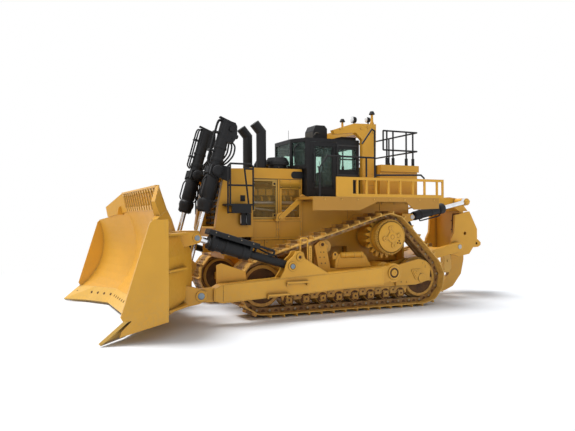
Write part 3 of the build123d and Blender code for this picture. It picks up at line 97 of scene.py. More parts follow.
# ---------------------------------------------------------------- materials
class Nodes:
    """Small helper that adds and links shader nodes in one material."""

    def __init__(self, name):
        self.material = bpy.data.materials.new(name)
        self.material.use_nodes = True
        self.tree = self.material.node_tree
        self.shader = self.tree.nodes["Principled BSDF"]
        self.coord = self.add("ShaderNodeTexCoord").outputs["Object"]

    def add(self, kind, **inputs):
        node = self.tree.nodes.new(kind)
        for key, value in inputs.items():
            self.feed(node.inputs[key.replace("_", " ")], value)
        return node

    def feed(self, socket, value):
        if isinstance(value, bpy.types.NodeSocket):
            self.tree.links.new(value, socket)
        else:
            socket.default_value = value

    def surface(self, **inputs):
        """Feed the shader's own inputs."""
        for key, value in inputs.items():
            self.feed(self.shader.inputs[key.replace("_", " ")], value)

    def noise(self, scale, detail=4.0, rough=0.55):
        return self.add("ShaderNodeTexNoise", Vector=self.coord,
                Scale=scale, Detail=detail, Roughness=rough).outputs["Fac"]

    def math(self, operation, a, b=0.0, clamp=False):
        node = self.add("ShaderNodeMath")
        node.operation = operation
        node.use_clamp = clamp
        self.feed(node.inputs[0], a)
        self.feed(node.inputs[1], b)
        return node.outputs[0]

    def span(self, value, low, high, to_low=0.0, to_high=1.0):
        node = self.add("ShaderNodeMapRange")
        node.clamp = True
        for key, item in (("Value", value), ("From Min", low),
                ("From Max", high), ("To Min", to_low), ("To Max", to_high)):
            self.feed(node.inputs[key], item)
        return node.outputs["Result"]

    def mix(self, share, a, b):
        node = self.add("ShaderNodeMix")
        node.data_type = "RGBA"
        self.feed(node.inputs[0], share)
        self.feed(node.inputs[6], a)
        self.feed(node.inputs[7], b)
        return node.outputs[2]

    def axis(self, name, source=None):
        parts = self.add("ShaderNodeSeparateXYZ")
        self.feed(parts.inputs[0], source if source is not None else self.coord)
        return parts.outputs[name]

    def edge(self, radius):
        """1 on edges, where the finishes put a lighter colour (wear, and in the paints also a painted highlight), 0 on
        flats, with the rounded normal that shows it.
        """
        bevel = self.add("ShaderNodeBevel", Radius=radius)
        bevel.samples = 4
        geometry = self.add("ShaderNodeNewGeometry")
        dot = self.add("ShaderNodeVectorMath")
        dot.operation = "DOT_PRODUCT"
        self.feed(dot.inputs[0], bevel.outputs["Normal"])
        self.feed(dot.inputs[1], geometry.outputs["Normal"])
        return self.span(dot.outputs["Value"], 0.995, 0.8), bevel.outputs["Normal"]

    def bump(self, height, strength, distance, normal=None):
        node = self.add("ShaderNodeBump", Strength=strength, Distance=distance, Height=height)
        if normal is not None:
            self.feed(node.inputs["Normal"], normal)
        self.feed(self.shader.inputs["Normal"], node.outputs["Normal"])


def rgba(colour, gain=1.0):
    """A colour with its gain, as the four numbers that a socket takes."""
    return (*(min(1.0, c * gain) for c in colour), 1.0)


def paint(name, colour, worn, rough=0.42, dust=(0.42, 0.3, 0.16),
        dust_share=0.35, dust_top=1.3, wear=0.5, coat=0.12, specular=0.35):
    """Sprayed paint: cloudy tone, rubbed edges that also carry a painted highlight, dust that gathers low down,
    painted shade in creases and gaps, and orange peel.
    """
    n = Nodes(name)
    cloud = n.span(n.noise(0.9, 3.0), 0.35, 0.68)
    grain = n.noise(14.0, 6.0, 0.65)
    base = n.mix(cloud, rgba(colour, 0.93), rgba(colour, 1.05))
    # Edges turn towards the lighter worn colour: partly rubbed paint, partly a painted highlight.
    edge, rounded = n.edge(0.01)
    rub_and_highlight = n.math("MULTIPLY", edge, n.span(grain, 0.35, 0.65, 0.25, wear), True)
    base = n.mix(rub_and_highlight, base, rgba(worn))
    low = n.span(n.axis("Z"), dust_top, 0.0)
    patch = n.math("MULTIPLY", low, n.span(grain, 0.38, 0.72), True)
    base = n.mix(n.math("MULTIPLY", patch, dust_share, True), base, rgba(dust))
    streak = n.add("ShaderNodeMapping", Vector=n.coord, Scale=(6.0, 6.0, 0.7))
    runs = n.add("ShaderNodeTexNoise", Vector=streak.outputs["Vector"], Scale=2.4, Detail=5.0).outputs["Fac"]
    base = n.mix(n.span(runs, 0.62, 0.82, 0.0, 0.16), base, rgba(dust, 0.7))
    # Painted shade: ambient occlusion darkens creases, recesses and the gaps between parts towards a deep brown of the
    # paint's own colour.
    painted_shade_ao = n.add("ShaderNodeAmbientOcclusion", Distance=0.11)
    painted_shade_ao.samples = 6
    base = n.mix(n.span(painted_shade_ao.outputs["AO"], 0.88, 0.35, 0.0, 0.85),
            base, rgba(tuple(c * 0.16 + 0.006 for c in colour)))
    n.surface(Base_Color=base, Roughness=n.span(grain, 0.3, 0.7, rough - 0.07, rough + 0.12),
            Specular_IOR_Level=specular, Coat_Weight=coat, Coat_Roughness=0.25)
    n.bump(n.noise(90.0, 2.0), 0.06, 0.004, rounded)
    return n.material


def track_finish(name):
    """Painted shoes whose link strands, in the chain's middle, are dark brown."""
    n = Nodes(name)
    side = n.math("SUBTRACT", n.math("ABSOLUTE", n.axis("Y")), GAUGE_HALF)
    middle = n.span(n.math("ABSOLUTE", side), 0.2, 0.165)
    grain = n.noise(11.0, 6.0, 0.7)
    brown_mottle = n.noise(3.2, 4.0)
    yellow = n.mix(n.span(grain, 0.35, 0.7), rgba((0.74, 0.42, 0.075)), rgba((0.5, 0.27, 0.06)))
    # The link strands in the chain's middle are mixed towards a mottled dark brown.
    link_brown = n.mix(n.span(brown_mottle, 0.35, 0.65), rgba((0.16, 0.075, 0.028)), rgba((0.34, 0.18, 0.055)))
    base = n.mix(n.math("MULTIPLY", middle, 0.92, True), yellow, link_brown)
    edge, rounded = n.edge(0.008)
    # Lighter yellow on the shoes' edges: partly wear, partly a painted highlight.
    base = n.mix(n.math("MULTIPLY", edge, 0.55, True), base, rgba((0.9, 0.62, 0.22)))
    n.surface(Base_Color=base, Roughness=n.span(grain, 0.3, 0.7, 0.45, 0.75))
    n.bump(n.noise(45.0, 4.0), 0.18, 0.006, rounded)
    return n.material


def metal(name, colour, rough, brushed=0.0, metallic=1.0):
    """Bare metal with fine turning marks and a little uneven polish."""
    n = Nodes(name)
    haze = n.noise(7.0, 5.0)
    n.surface(Base_Color=n.mix(n.span(haze, 0.3, 0.7), rgba(colour, 0.85), rgba(colour, 1.05)),
            Roughness=n.span(haze, 0.3, 0.7, rough, rough + 0.12), Metallic=metallic)
    n.bump(n.noise(140.0, 2.0), 0.02 + brushed, 0.002)
    return n.material


def rough_iron(name, colour, worn, rough=0.62):
    """Cast or burnt iron: blotchy, with a coarse skin."""
    n = Nodes(name)
    blot = n.noise(5.0, 6.0, 0.7)
    edge, rounded = n.edge(0.006)
    base = n.mix(n.span(blot, 0.35, 0.7), rgba(colour), rgba(worn))
    n.surface(Base_Color=n.mix(n.math("MULTIPLY", edge, 0.3, True), base, rgba(worn, 1.5)),
            Roughness=n.span(blot, 0.3, 0.7, rough - 0.1, rough + 0.2), Metallic=0.35)
    n.bump(n.noise(60.0, 4.0), 0.2, 0.004, rounded)
    return n.material


def rubber(name, colour=(0.018, 0.018, 0.019)):
    """Matt rubber with a grey bloom."""
    n = Nodes(name)
    bloom = n.noise(8.0, 5.0)
    n.surface(Base_Color=n.mix(n.span(bloom, 0.4, 0.75), rgba(colour), rgba(colour, 2.2)),
            Roughness=n.span(bloom, 0.3, 0.7, 0.5, 0.72))
    n.bump(n.noise(120.0, 2.0), 0.08, 0.002)
    return n.material


def glass(name, tint):
    """Tinted cab glazing with a faint film of dust."""
    n = Nodes(name)
    film = n.noise(4.0, 5.0)
    n.surface(Base_Color=n.mix(n.span(film, 0.3, 0.75), rgba(tint), rgba(tint, 0.93)),
            Roughness=n.span(film, 0.4, 0.8, 0.0, 0.05), Transmission_Weight=0.96, IOR=1.12)
    return n.material


def fabric(name, colour, sheen):
    """Woven seat cloth: crossed threads, soft sheen and uneven dye."""
    n = Nodes(name)
    threads = []
    for direction, turn in (("X", 0.0), ("Z", 1.5708)):
        wave = n.add("ShaderNodeTexWave", Vector=n.coord, Scale=120.0, Distortion=0.8, Detail=2.0)
        wave.bands_direction = direction
        threads.append(wave.outputs["Fac"])
    weave = n.math("MULTIPLY", *threads)
    dye = n.noise(9.0, 4.0)
    base = n.mix(n.span(dye, 0.3, 0.7), rgba(colour, 0.8), rgba(colour, 1.3))
    n.surface(Base_Color=n.mix(n.math("MULTIPLY", weave, 0.4), base, rgba(colour, 2.0)),
            Roughness=0.9, Sheen_Weight=sheen)
    n.bump(weave, 0.35, 0.0015)
    return n.material


def lamp_lens(name):
    """Ribbed lamp glass."""
    n = Nodes(name)
    ribs = n.add("ShaderNodeTexWave", Vector=n.coord, Scale=40.0)
    ribs.bands_direction = "Z"
    n.surface(Base_Color=n.mix(ribs.outputs["Fac"], rgba((0.75, 0.78, 0.8)), rgba((0.93, 0.94, 0.95))),
            Roughness=0.12, Coat_Weight=0.8)
    n.bump(ribs.outputs["Fac"], 0.3, 0.002)
    return n.material


YELLOW, BLACK = (0.74, 0.372, 0.034), (0.014, 0.014, 0.015)
MATERIALS = {
    # Yellow's light worn colour at high strength gives its edges a painted highlight as well as wear.
    "yellow_paint": paint("yellow_paint", YELLOW, (0.93, 0.68, 0.26), wear=0.75),
    "black_paint": paint("black_paint", BLACK, (0.09, 0.09, 0.095), rough=0.5, dust=(0.08, 0.07, 0.05), dust_share=0.2,
                         wear=0.5, coat=0.04, specular=0.22),
    "chrome_rod": metal("chrome_rod", (0.8, 0.81, 0.83), 0.1),
    "track_steel": track_finish("track_steel"),
    "wear_steel": paint("wear_steel", (0.78, 0.46, 0.085), (0.95, 0.76, 0.4), rough=0.38, dust_share=0.3, wear=0.9),
    "cab_glass": glass("cab_glass", (0.7, 0.88, 0.8)),
    "dark_iron": rough_iron("dark_iron", (0.03, 0.026, 0.022), (0.1, 0.085, 0.065)),
    "seat_fabric": fabric("seat_fabric", (0.035, 0.036, 0.04), 0.4),
    "mesh_panel": paint("mesh_panel", (0.55, 0.33, 0.07), (0.8, 0.6, 0.25), rough=0.5),
    # Painted shade: a darker copy of the yellow paint for the fenders stands in for the shade under the deck guard;
    # its dust is real dust.
    "fender_painted_shade": paint("fender_painted_shade", (0.52, 0.25, 0.032), (0.85, 0.58, 0.22), dust=(0.3, 0.17, 0.07),
                         dust_share=0.5),
    "pin_steel": metal("pin_steel", (0.42, 0.41, 0.39), 0.28, 0.05),
    "chain_steel": paint("chain_steel", (0.42, 0.23, 0.055), (0.8, 0.55, 0.2), rough=0.55,
                         dust=(0.16, 0.075, 0.028), dust_share=0.8, dust_top=3.0, wear=0.8, coat=0.05, specular=0.22),
    "pin_worn": metal("pin_worn", (0.3, 0.24, 0.17), 0.45, 0.1, 0.8),
    "pin_blue": metal("pin_blue", (0.22, 0.27, 0.31), 0.35, 0.05, 0.7),
    "roller_paint": paint("roller_paint", (0.62, 0.33, 0.055), (0.88, 0.62, 0.25), rough=0.5, dust=(0.22, 0.11, 0.045),
                          dust_share=0.85, dust_top=0.9, wear=0.8),
    "earth_iron": rough_iron("earth_iron", (0.075, 0.034, 0.014), (0.2, 0.1, 0.035), 0.75),
    "rubber": rubber("rubber"),
    "lamp_lens": lamp_lens("lamp_lens"),
    "cap_white": paint("cap_white", (0.62, 0.58, 0.5), (0.8, 0.78, 0.7), rough=0.5),
}


def dress_cad():
    """Give every CAD node the finish of its record slot; wheels get the earthier paint, and the fenders a darker copy
    of the yellow that paints the shade under the deck guard.
    """
    slots = {row["node"]: row["material_slot"] for row in frame["record"]["subparts"]}
    # The fenders' finish is a darker yellow that paints their shade.
    special = {"idlers": "roller_paint", "track_rollers": "roller_paint", "fenders": "fender_painted_shade"}
    for node, obj in frame["nodes"].items():
        obj.data.materials.clear()
        obj.data.materials.append(MATERIALS[special.get(node, slots[node])])


# ---------------------------------------------------------------- mesh builder
class Shape:
    """Mesh of one piece, built up from plates, drums, tubes and bolts in station coordinates."""

    def __init__(self):
        self.verts = []
        self.faces = []

    def loft(self, rings, closed=True):
        """Walls between equal rings of points, with end caps."""
        count = len(rings[0])
        base = len(self.verts)
        for ring in rings:
            self.verts += [tuple(p) for p in ring]
        for k in range(len(rings) - 1):
            for i in range(count):
                a, b = base + k * count + i, base + k * count + (i + 1) % count
                self.faces.append((a, b, b + count, a + count))
        if closed:
            self.faces.append(tuple(range(base + count - 1, base - 1, -1)))
            last = base + (len(rings) - 1) * count
            self.faces.append(tuple(range(last, last + count)))

    def plate(self, outline, y0, y1):
        """A plate of the side outline (x, z) from y0 to y1."""
        self.loft([[at(x, y, z) for x, z in outline] for y in (y0, y1)])

    def plan(self, outline, z0, z1):
        """A plate of the plan outline (x, y) from z0 to z1."""
        self.loft([[at(x, y, z) for x, y in outline] for z in (z0, z1)])

    def box(self, x0, x1, y0, y1, z0, z1):
        self.plan([(x0, y0), (x1, y0), (x1, y1), (x0, y1)], z0, z1)

    def ring(self, centre, normal, radius, sides):
        normal = Vector(normal).normalized()
        side = normal.orthogonal().normalized()
        other = normal.cross(side)
        step = 2 * math.pi / sides
        return [centre + side * (radius * math.cos(step * k))
                + other * (radius * math.sin(step * k)) for k in range(sides)]

    def turned(self, centre, normal, steps, sides=32):
        """A turned form: (radius, distance along the normal) steps from the centre."""
        way = Vector(normal).normalized()
        self.loft([self.ring(centre + way * d, way, r, sides) for r, d in steps])

    def disc(self, x, y, z, steps, sides=32):
        """A turned form on an axis that points left."""
        self.turned(at(x, y, z), (0, 1, 0), steps, sides)

    def drum(self, x_z, radius, y0, y1, sides=40, edge=0.006):
        """A round bar along Y with softened rims."""
        way = 1 if y1 > y0 else -1
        length = abs(y1 - y0)
        edge = min(edge, length / 3, radius / 3)
        self.turned(at(x_z[0], y0, x_z[1]), (0, way, 0),
                [(radius - edge, 0), (radius, edge), (radius, length - edge), (radius - edge, length)], sides)

    def collar(self, start, end, outer, inner, sides=40):
        """An open sleeve between two points."""
        way = (end - start).normalized()
        rings = [self.ring(p, way, r, sides)
                for p, r in ((start, inner), (start, outer), (end, outer), (end, inner))]
        self.loft(rings + [rings[0]], closed=False)

    def tube(self, points, radius, sides=10, bend=0.0):
        """A pipe through the points; each corner is rounded over the bend length."""
        path = [Vector(p) for p in points]
        if bend:
            rounded = [path[0]]
            for a, b, c in zip(path, path[1:], path[2:]):
                cut = min(bend, (b - a).length * 0.45, (c - b).length * 0.45)
                p, q = b + (a - b).normalized() * cut, b + (c - b).normalized() * cut
                rounded += [p * (1 - t) ** 2 + b * (2 * t * (1 - t))
                        + q * t * t for t in (0.0, 0.25, 0.5, 0.75, 1.0)]
            path = rounded + [path[-1]]
        side = None
        rings = []
        for k, point in enumerate(path):
            way = (path[min(k + 1, len(path) - 1)] - path[max(k - 1, 0)]).normalized()
            side = way.orthogonal().normalized() if side is None else (side - way * side.dot(way)).normalized()
            other = way.cross(side)
            rings.append([point + side * (radius * math.cos(2 * math.pi * i / sides))
                    + other * (radius * math.sin(2 * math.pi * i / sides)) for i in range(sides)])
        self.loft(rings)

    def bolt(self, centre, normal, radius=0.018, height=0.014):
        """A washer with a hexagon head on it."""
        self.turned(centre, normal, [(radius * 1.45, 0), (radius * 1.45, height * 0.3)], 12)
        way = Vector(normal).normalized()
        self.turned(centre + way * height * 0.3, normal,
                [(radius, 0), (radius, height * 0.8), (radius * 0.8, height)], 6)

    def stud(self, x, y, z, radius, height):
        """A bolt that faces left."""
        self.bolt(at(x, y, z), (0, 1, 0), radius, height)

    def make(self, name, finish, bevel=0.004, body="chassis", both=True):
        """Turn the shape into an object that rides on a body; both adds the mirrored half."""
        mesh = bpy.data.meshes.new(name)
        verts, faces = list(self.verts), list(self.faces)
        if both:
            shift = len(verts)
            verts += [(x, -y, z) for x, y, z in self.verts]
            faces += [tuple(shift + i for i in reversed(face)) for face in self.faces]
        mesh.from_pydata(verts, [], faces)
        tidy = bmesh.new()
        tidy.from_mesh(mesh)
        bmesh.ops.remove_doubles(tidy, verts=tidy.verts, dist=1e-6)
        bmesh.ops.recalc_face_normals(tidy, faces=tidy.faces)
        tidy.to_mesh(mesh)
        tidy.free()
        mesh.materials.append(MATERIALS[finish])
        obj = bpy.data.objects.new(name, mesh)
        bpy.context.scene.collection.objects.link(obj)
        if bevel:
            soft = obj.modifiers.new("edges", "BEVEL")
            soft.width = bevel
            soft.segments = 2
            soft.limit_method = "ANGLE"
            soft.angle_limit = math.radians(40)
            soft.use_clamp_overlap = True
        mesh.shade_smooth()
        mesh.set_sharp_from_angle(angle=math.radians(35))
        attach(obj, body)
        return obj


def along(start, end, distance, offset=0.0):
    """Side point at a distance from start towards end, and to the line's left by the offset."""
    dx, dz = end[0] - start[0], end[1] - start[1]
    length = math.hypot(dx, dz)
    ux, uz = dx / length, dz / length
    return (start[0] + ux * distance - uz * offset, start[1] + uz * distance + ux * offset)


# ---------------------------------------------------------------- tracks and running gear
def belt(circles):
    """Tangent runs and wraps round (x, z, r) circles."""
    runs = []
    for (x0, z0, r0), (x1, z1, r1) in zip(circles, circles[1:] + circles[:1]):
        gap = math.hypot(x1 - x0, z1 - z0)
        ux, uz = (x1 - x0) / gap, (z1 - z0) / gap
        lean = (r0 - r1) / gap
        side = math.sqrt(1 - lean * lean)
        nx, nz = ux * lean + uz * side, uz * lean - ux * side
        runs.append(((x0 + r0 * nx, z0 + r0 * nz), (x1 + r1 * nx, z1 + r1 * nz), math.atan2(nz, nx)))
    pieces = []
    for k, (start, end, turn) in enumerate(runs):
        pieces.append(("run", math.dist(start, end), start, end))
        x, z, r = circles[(k + 1) % len(circles)]
        sweep = (runs[(k + 1) % len(runs)][2] - turn) % (2 * math.pi)
        pieces.append(("wrap", r * sweep, (x, z, r), turn))
    return pieces


def pin_places():
    """The chain's pins at an even pitch round the loop."""
    loop = belt([(*REAR_IDLER, IDLER_PIN_R), (*FRONT_IDLER, IDLER_PIN_R),
            (*CARRIER, CARRIER_PIN_R), (*SPROCKET, SPROCKET_PIN_R)])
    total = sum(piece[1] for piece in loop)
    count = round(total / TRACK_PITCH)
    places = []
    for k in range(count):
        s = total * k / count
        for kind, length, first, second in loop:
            if s > length:
                s -= length
                continue
            if kind == "run":
                places.append(between(first, second, s / length))
            else:
                angle = second + s / first[2]
                places.append((first[0] + first[2] * math.cos(angle), first[1] + first[2] * math.sin(angle)))
            break
    return places


def chain_details():
    """Bosses, pin ends and dark plates of painted shade in the links' windows, and the bolts that hold the shoes."""
    pins = pin_places()
    bosses, ends, windows, bolts = Shape(), Shape(), Shape(), Shape()
    for here, after in zip(pins, pins[1:] + pins[:1]):
        pitch = math.dist(here, after)
        for y, way in ((GAUGE_HALF + LINK_OUT, 1), (GAUGE_HALF - LINK_OUT, -1)):
            bosses.turned(at(here[0], y, here[1]), (0, way, 0),
                    [(0.058, -0.002), (0.058, 0.008), (0.05, 0.012)], 20)
            ends.turned(at(here[0], y + way * 0.01, here[1]), (0, way, 0),
                    [(0.03, 0), (0.03, 0.01), (0.024, 0.013)], 14)
            # Painted shade: a thin dark plate stands in for the opening of each link window.
            window = [along(here, after, pitch * s, off)
                    for s, off in ((0.34, -0.032), (0.66, -0.032), (0.6, 0.012), (0.5, 0.026), (0.4, 0.012))]
            windows.plate(window, y - way * 0.002, y + way * 0.003)
        for y in (GAUGE_HALF - 0.215, GAUGE_HALF - 0.045, GAUGE_HALF + 0.045, GAUGE_HALF + 0.215):
            for share in (0.42, 0.72):
                x, z = along(here, after, pitch * share, -SHOE_FACE + 0.001)
                px, pz = along(here, after, pitch * share, -SHOE_FACE - 1.0)
                bolts.turned(at(x, y, z), (px - x, 0, pz - z), [(0.024, 0), (0.024, 0.014), (0.018, 0.018)], 6)
    bosses.make("link_bosses", "chain_steel", 0)
    ends.make("track_pin_ends", "pin_worn", 0)
    windows.make("link_window_shade", "earth_iron", 0)
    bolts.make("shoe_bolts", "chain_steel", 0)


def rollers():
    """Caps, rims and bolts on the ends of the bottom rollers and the idlers."""
    discs, caps, dark = Shape(), Shape(), Shape()
    plate_y = GAUGE_HALF + LINK_OUT + 0.036
    for k in range(ROLLER_COUNT):
        x = ROLLER_FIRST_X + ROLLER_STEP * k
        centre = at(x, plate_y, ROLLER_Z)
        discs.turned(centre, (0, 1, 0), [(0.128, -0.02), (0.128, 0.006), (0.118, 0.012)], 28)
        caps.turned(centre + Vector((0, 0.01, 0)), (0, 1, 0), [(0.078, 0), (0.078, 0.02), (0.066, 0.028)], 24)
        for turn in (45, 135):
            a = math.radians(turn)
            strap = [(x + math.cos(a + s) * 0.112, ROLLER_Z + math.sin(a + s) * 0.112)
                    for s in (-0.24, 0.24, math.pi - 0.24, math.pi + 0.24)]
            caps.plate(strap, plate_y + 0.008, plate_y + 0.024)
            for half in (0, math.pi):
                spot = at(x + math.cos(a + half) * 0.092, plate_y + 0.024, ROLLER_Z + math.sin(a + half) * 0.092)
                caps.bolt(spot, (0, 1, 0), 0.011, 0.01)
        dark.turned(centre + Vector((0, 0.037, 0)), (0, 1, 0), [(0.026, 0), (0.026, 0.002)], 16)
        if k < ROLLER_COUNT - 1:
            middle = x + ROLLER_STEP / 2
            caps.plate([(middle - 0.105, 0.375), (middle + 0.105, 0.375), (middle + 0.085, 0.5),
                    (middle - 0.085, 0.5)], plate_y - 0.001, plate_y + 0.014)
            for dx, dz in ((-0.07, 0.4), (0.07, 0.4), (-0.055, 0.475), (0.055, 0.475)):
                caps.stud(middle + dx, plate_y + 0.013, dz, 0.013, 0.01)
            dark.plate([(middle - 0.03, 0.42), (middle + 0.03, 0.42), (middle + 0.02, 0.46), (middle - 0.02, 0.46)],
                    plate_y + 0.012, plate_y + 0.016)
    discs.make("roller_rims", "earth_iron", 0)
    caps.make("roller_caps", "roller_paint", 0.002)
    dark.make("roller_centres", "earth_iron", 0)
    rims, webs = Shape(), Shape()
    for x, z in (FRONT_IDLER, REAR_IDLER):
        for y, way in ((GAUGE_HALF + LINK_OUT, 1), (GAUGE_HALF - LINK_OUT, -1)):
            face = at(x, y, z)
            rings = [rims.ring(face + Vector((0, way * d, 0)), (0, 1, 0), r, 56) for r, d in ((0.395, 0.0),
                    (0.395, 0.02), (0.462, 0.02), (0.47, 0.006), (0.47, -0.02), (0.395, -0.02))]
            rims.loft(rings + [rings[0]], closed=False)
            webs.turned(face, (0, way, 0),
                    [(0.395, 0), (0.395, 0.003), (0.2, 0.003), (0.19, 0.018), (0.165, 0.018)], 40)
    rims.make("idler_rims", "roller_paint", 0)
    webs.make("idler_webs", "earth_iron", 0)
    bars = Shape()
    for x, z in (FRONT_IDLER, REAR_IDLER):
        for dx in (-0.3, 0.3):
            bars.box(x + dx - 0.05, x + dx + 0.05, GAUGE_HALF + 0.17, GAUGE_HALF + 0.232, 0.61, 0.7)
    bars.make("idler_wear_blocks", "roller_paint")


def final_drives():
    """Hub cover with its ring of bolts, ribbed rim and four-lobed cap."""
    x, z = SPROCKET
    bolts, ribs, cap, rings = Shape(), Shape(), Shape(), Shape()
    for k in range(60):
        a = 2 * math.pi * k / 60
        bolts.turned(at(x + 0.402 * math.cos(a), HUB_FACE_Y - 0.061, z + 0.402 * math.sin(a)),
                (0, 1, 0), [(0.0155, 0), (0.0155, 0.022), (0.01, 0.026)], 8)
    for k in range(76):
        a = 2 * math.pi * k / 76
        ribs.turned(at(x + 0.432 * math.cos(a), HUB_FACE_Y - 0.165, z + 0.432 * math.sin(a)),
                (0, 1, 0), [(0.0075, 0), (0.0075, 0.098)], 6)
    face = at(x, HUB_FACE_Y - 0.021, z)
    cap.turned(face, (0, 1, 0), [(0.368, -0.03), (0.368, 0.012), (0.355, 0.02), (0.205, 0.022), (0.19, 0.022)], 72)
    for k in range(4):
        a = math.radians(80 - 90 * k)
        cx, cz = math.cos(a), math.sin(a)
        arm = [(x + cx * d - cz * w, z + cz * d + cx * w)
                for d, w in ((0.06, -0.055), (0.2, -0.026), (0.2, 0.026), (0.06, 0.055))]
        cap.plate(arm, HUB_FACE_Y, HUB_FACE_Y + 0.016)
        boss = at(x + cx * 0.215, HUB_FACE_Y - 0.002, z + cz * 0.215)
        cap.turned(boss, (0, 1, 0), [(0.058, 0), (0.058, 0.024), (0.05, 0.03), (0.03, 0.03), (0.03, 0.02)], 24)
    cap.disc(x, HUB_FACE_Y, z, [(0.125, 0), (0.125, 0.02), (0.112, 0.026), (0.062, 0.026),
            (0.058, 0.016), (0.045, 0.016), (0.04, 0.03), (0.022, 0.03)], 40)
    for dx, dz in ((-0.17, -0.15), (-0.215, -0.095), (-0.24, -0.16)):
        rings.disc(x + dx, HUB_FACE_Y, z + dz, [(0.02, 0), (0.02, 0.008), (0.014, 0.012)], 16)
    bolts.make("hub_bolts", "yellow_paint", 0)
    ribs.make("hub_ribs", "yellow_paint", 0)
    cap.make("hub_covers", "yellow_paint", 0.003)
    rings.make("hub_plugs", "earth_iron", 0)


def frame_details():
    """Trunnion rings with painted shade in their grooves, the recoil box's bar and eye, dark discs of painted shade in
    the eye's hole and the carrier bracket holes, and the rear fork's boss.
    """
    px, pz = PIVOT
    ring, core, dark = Shape(), Shape(), Shape()
    ring.collar(at(px, 2.165, pz), at(px, 2.203, pz), 0.158, 0.122)
    core.disc(px, 2.19, pz, [(0.078, 0), (0.078, 0.016), (0.066, 0.02), (0.04, 0.02), (0.036, 0.01)], 32)
    # Painted shade: a thin dark disc darkens the groove between the ring and the cap.
    dark.disc(px, 2.1895, pz, [(0.114, 0), (0.114, 0.003)], 32)
    ring.make("trunnion_rings", "yellow_paint", body="push_arms")
    core.make("trunnion_caps", "yellow_paint", 0.002)
    dark.make("trunnion_groove_shade", "earth_iron", 0)
    fork = GAUGE_HALF + 0.285
    boss = Shape()
    for grow, y0, y1 in ((1.0, fork - 0.001, fork + 0.018), (0.66, fork + 0.017, fork + 0.03)):
        tri = []
        for cx, cz, first in ((-0.105, 0.06, 90), (0.0, -0.125, 210), (0.105, 0.06, -30)):
            for step in range(7):
                a = math.radians(first + step * 20)
                tri.append((-1.91 + (cx + 0.038 * math.cos(a)) * grow, 0.83 + (cz + 0.038 * math.sin(a)) * grow))
        boss.plate(tri, y0, y1)
    boss.disc(-1.91, fork + 0.029, 0.845, [(0.03, 0), (0.03, 0.012), (0.022, 0.014)], 20)
    for x, z in ((-2.2, 0.98), (-2.13, 1.07), (-1.62, 0.62), (-1.46, 0.62)):
        boss.stud(x, fork, z, 0.016, 0.014)
    boss.make("idler_fork_bosses", "yellow_paint", 0.002)
    recoil, eye, holes = Shape(), Shape(), Shape()
    y = GAUGE_HALF + 0.225
    recoil.turned(at(0.26, y, 1.335), (-1, 0, 0), [(0.05, 0), (0.072, 0.02), (0.072, 0.62), (0.05, 0.64)], 28)
    for x in (0.14, -0.1, -0.3):
        recoil.collar(at(x, y, 1.335), at(x - 0.03, y, 1.335), 0.08, 0.066, 28)
    recoil.plate([(-0.44, 1.04), (-0.4, 1.25), (0.3, 1.27), (0.36, 1.04)], GAUGE_HALF + 0.25, GAUGE_HALF + 0.262)
    recoil.make("recoil_covers", "yellow_paint", 0.003)
    eye.plate([(0.3, 1.24), (0.46, 1.24), (0.47, 1.36), (0.42, 1.42), (0.37, 1.42), (0.32, 1.36)],
            y - 0.02, y + 0.02)
    eye.make("recoil_lifting_eyes", "yellow_paint")
    # Painted shade: dark discs stand in for the hole in the lifting eye and the carrier bracket's holes.
    holes.disc(0.4, y + 0.0205, 1.36, [(0.028, 0), (0.028, 0.002)], 20)
    bracket = GAUGE_HALF + 0.23
    for x, z, r in ((0.735, 1.6, 0.04), (0.7, 1.42, 0.014), (0.78, 1.42, 0.014),
            (0.69, 1.3, 0.014), (0.8, 1.3, 0.014), (0.66, 1.16, 0.016), (0.76, 1.16, 0.016)):
        holes.disc(x, bracket + 0.0005, z, [(r, 0), (r, 0.002)], 16)
    holes.make("bracket_and_eye_hole_shade", "earth_iron", 0)
    lips = Shape()
    lips.collar(at(0.735, bracket - 0.001, 1.6), at(0.735, bracket + 0.012, 1.6), 0.075, 0.046, 28)
    lips.make("carrier_bracket_rings", "yellow_paint", 0.002)


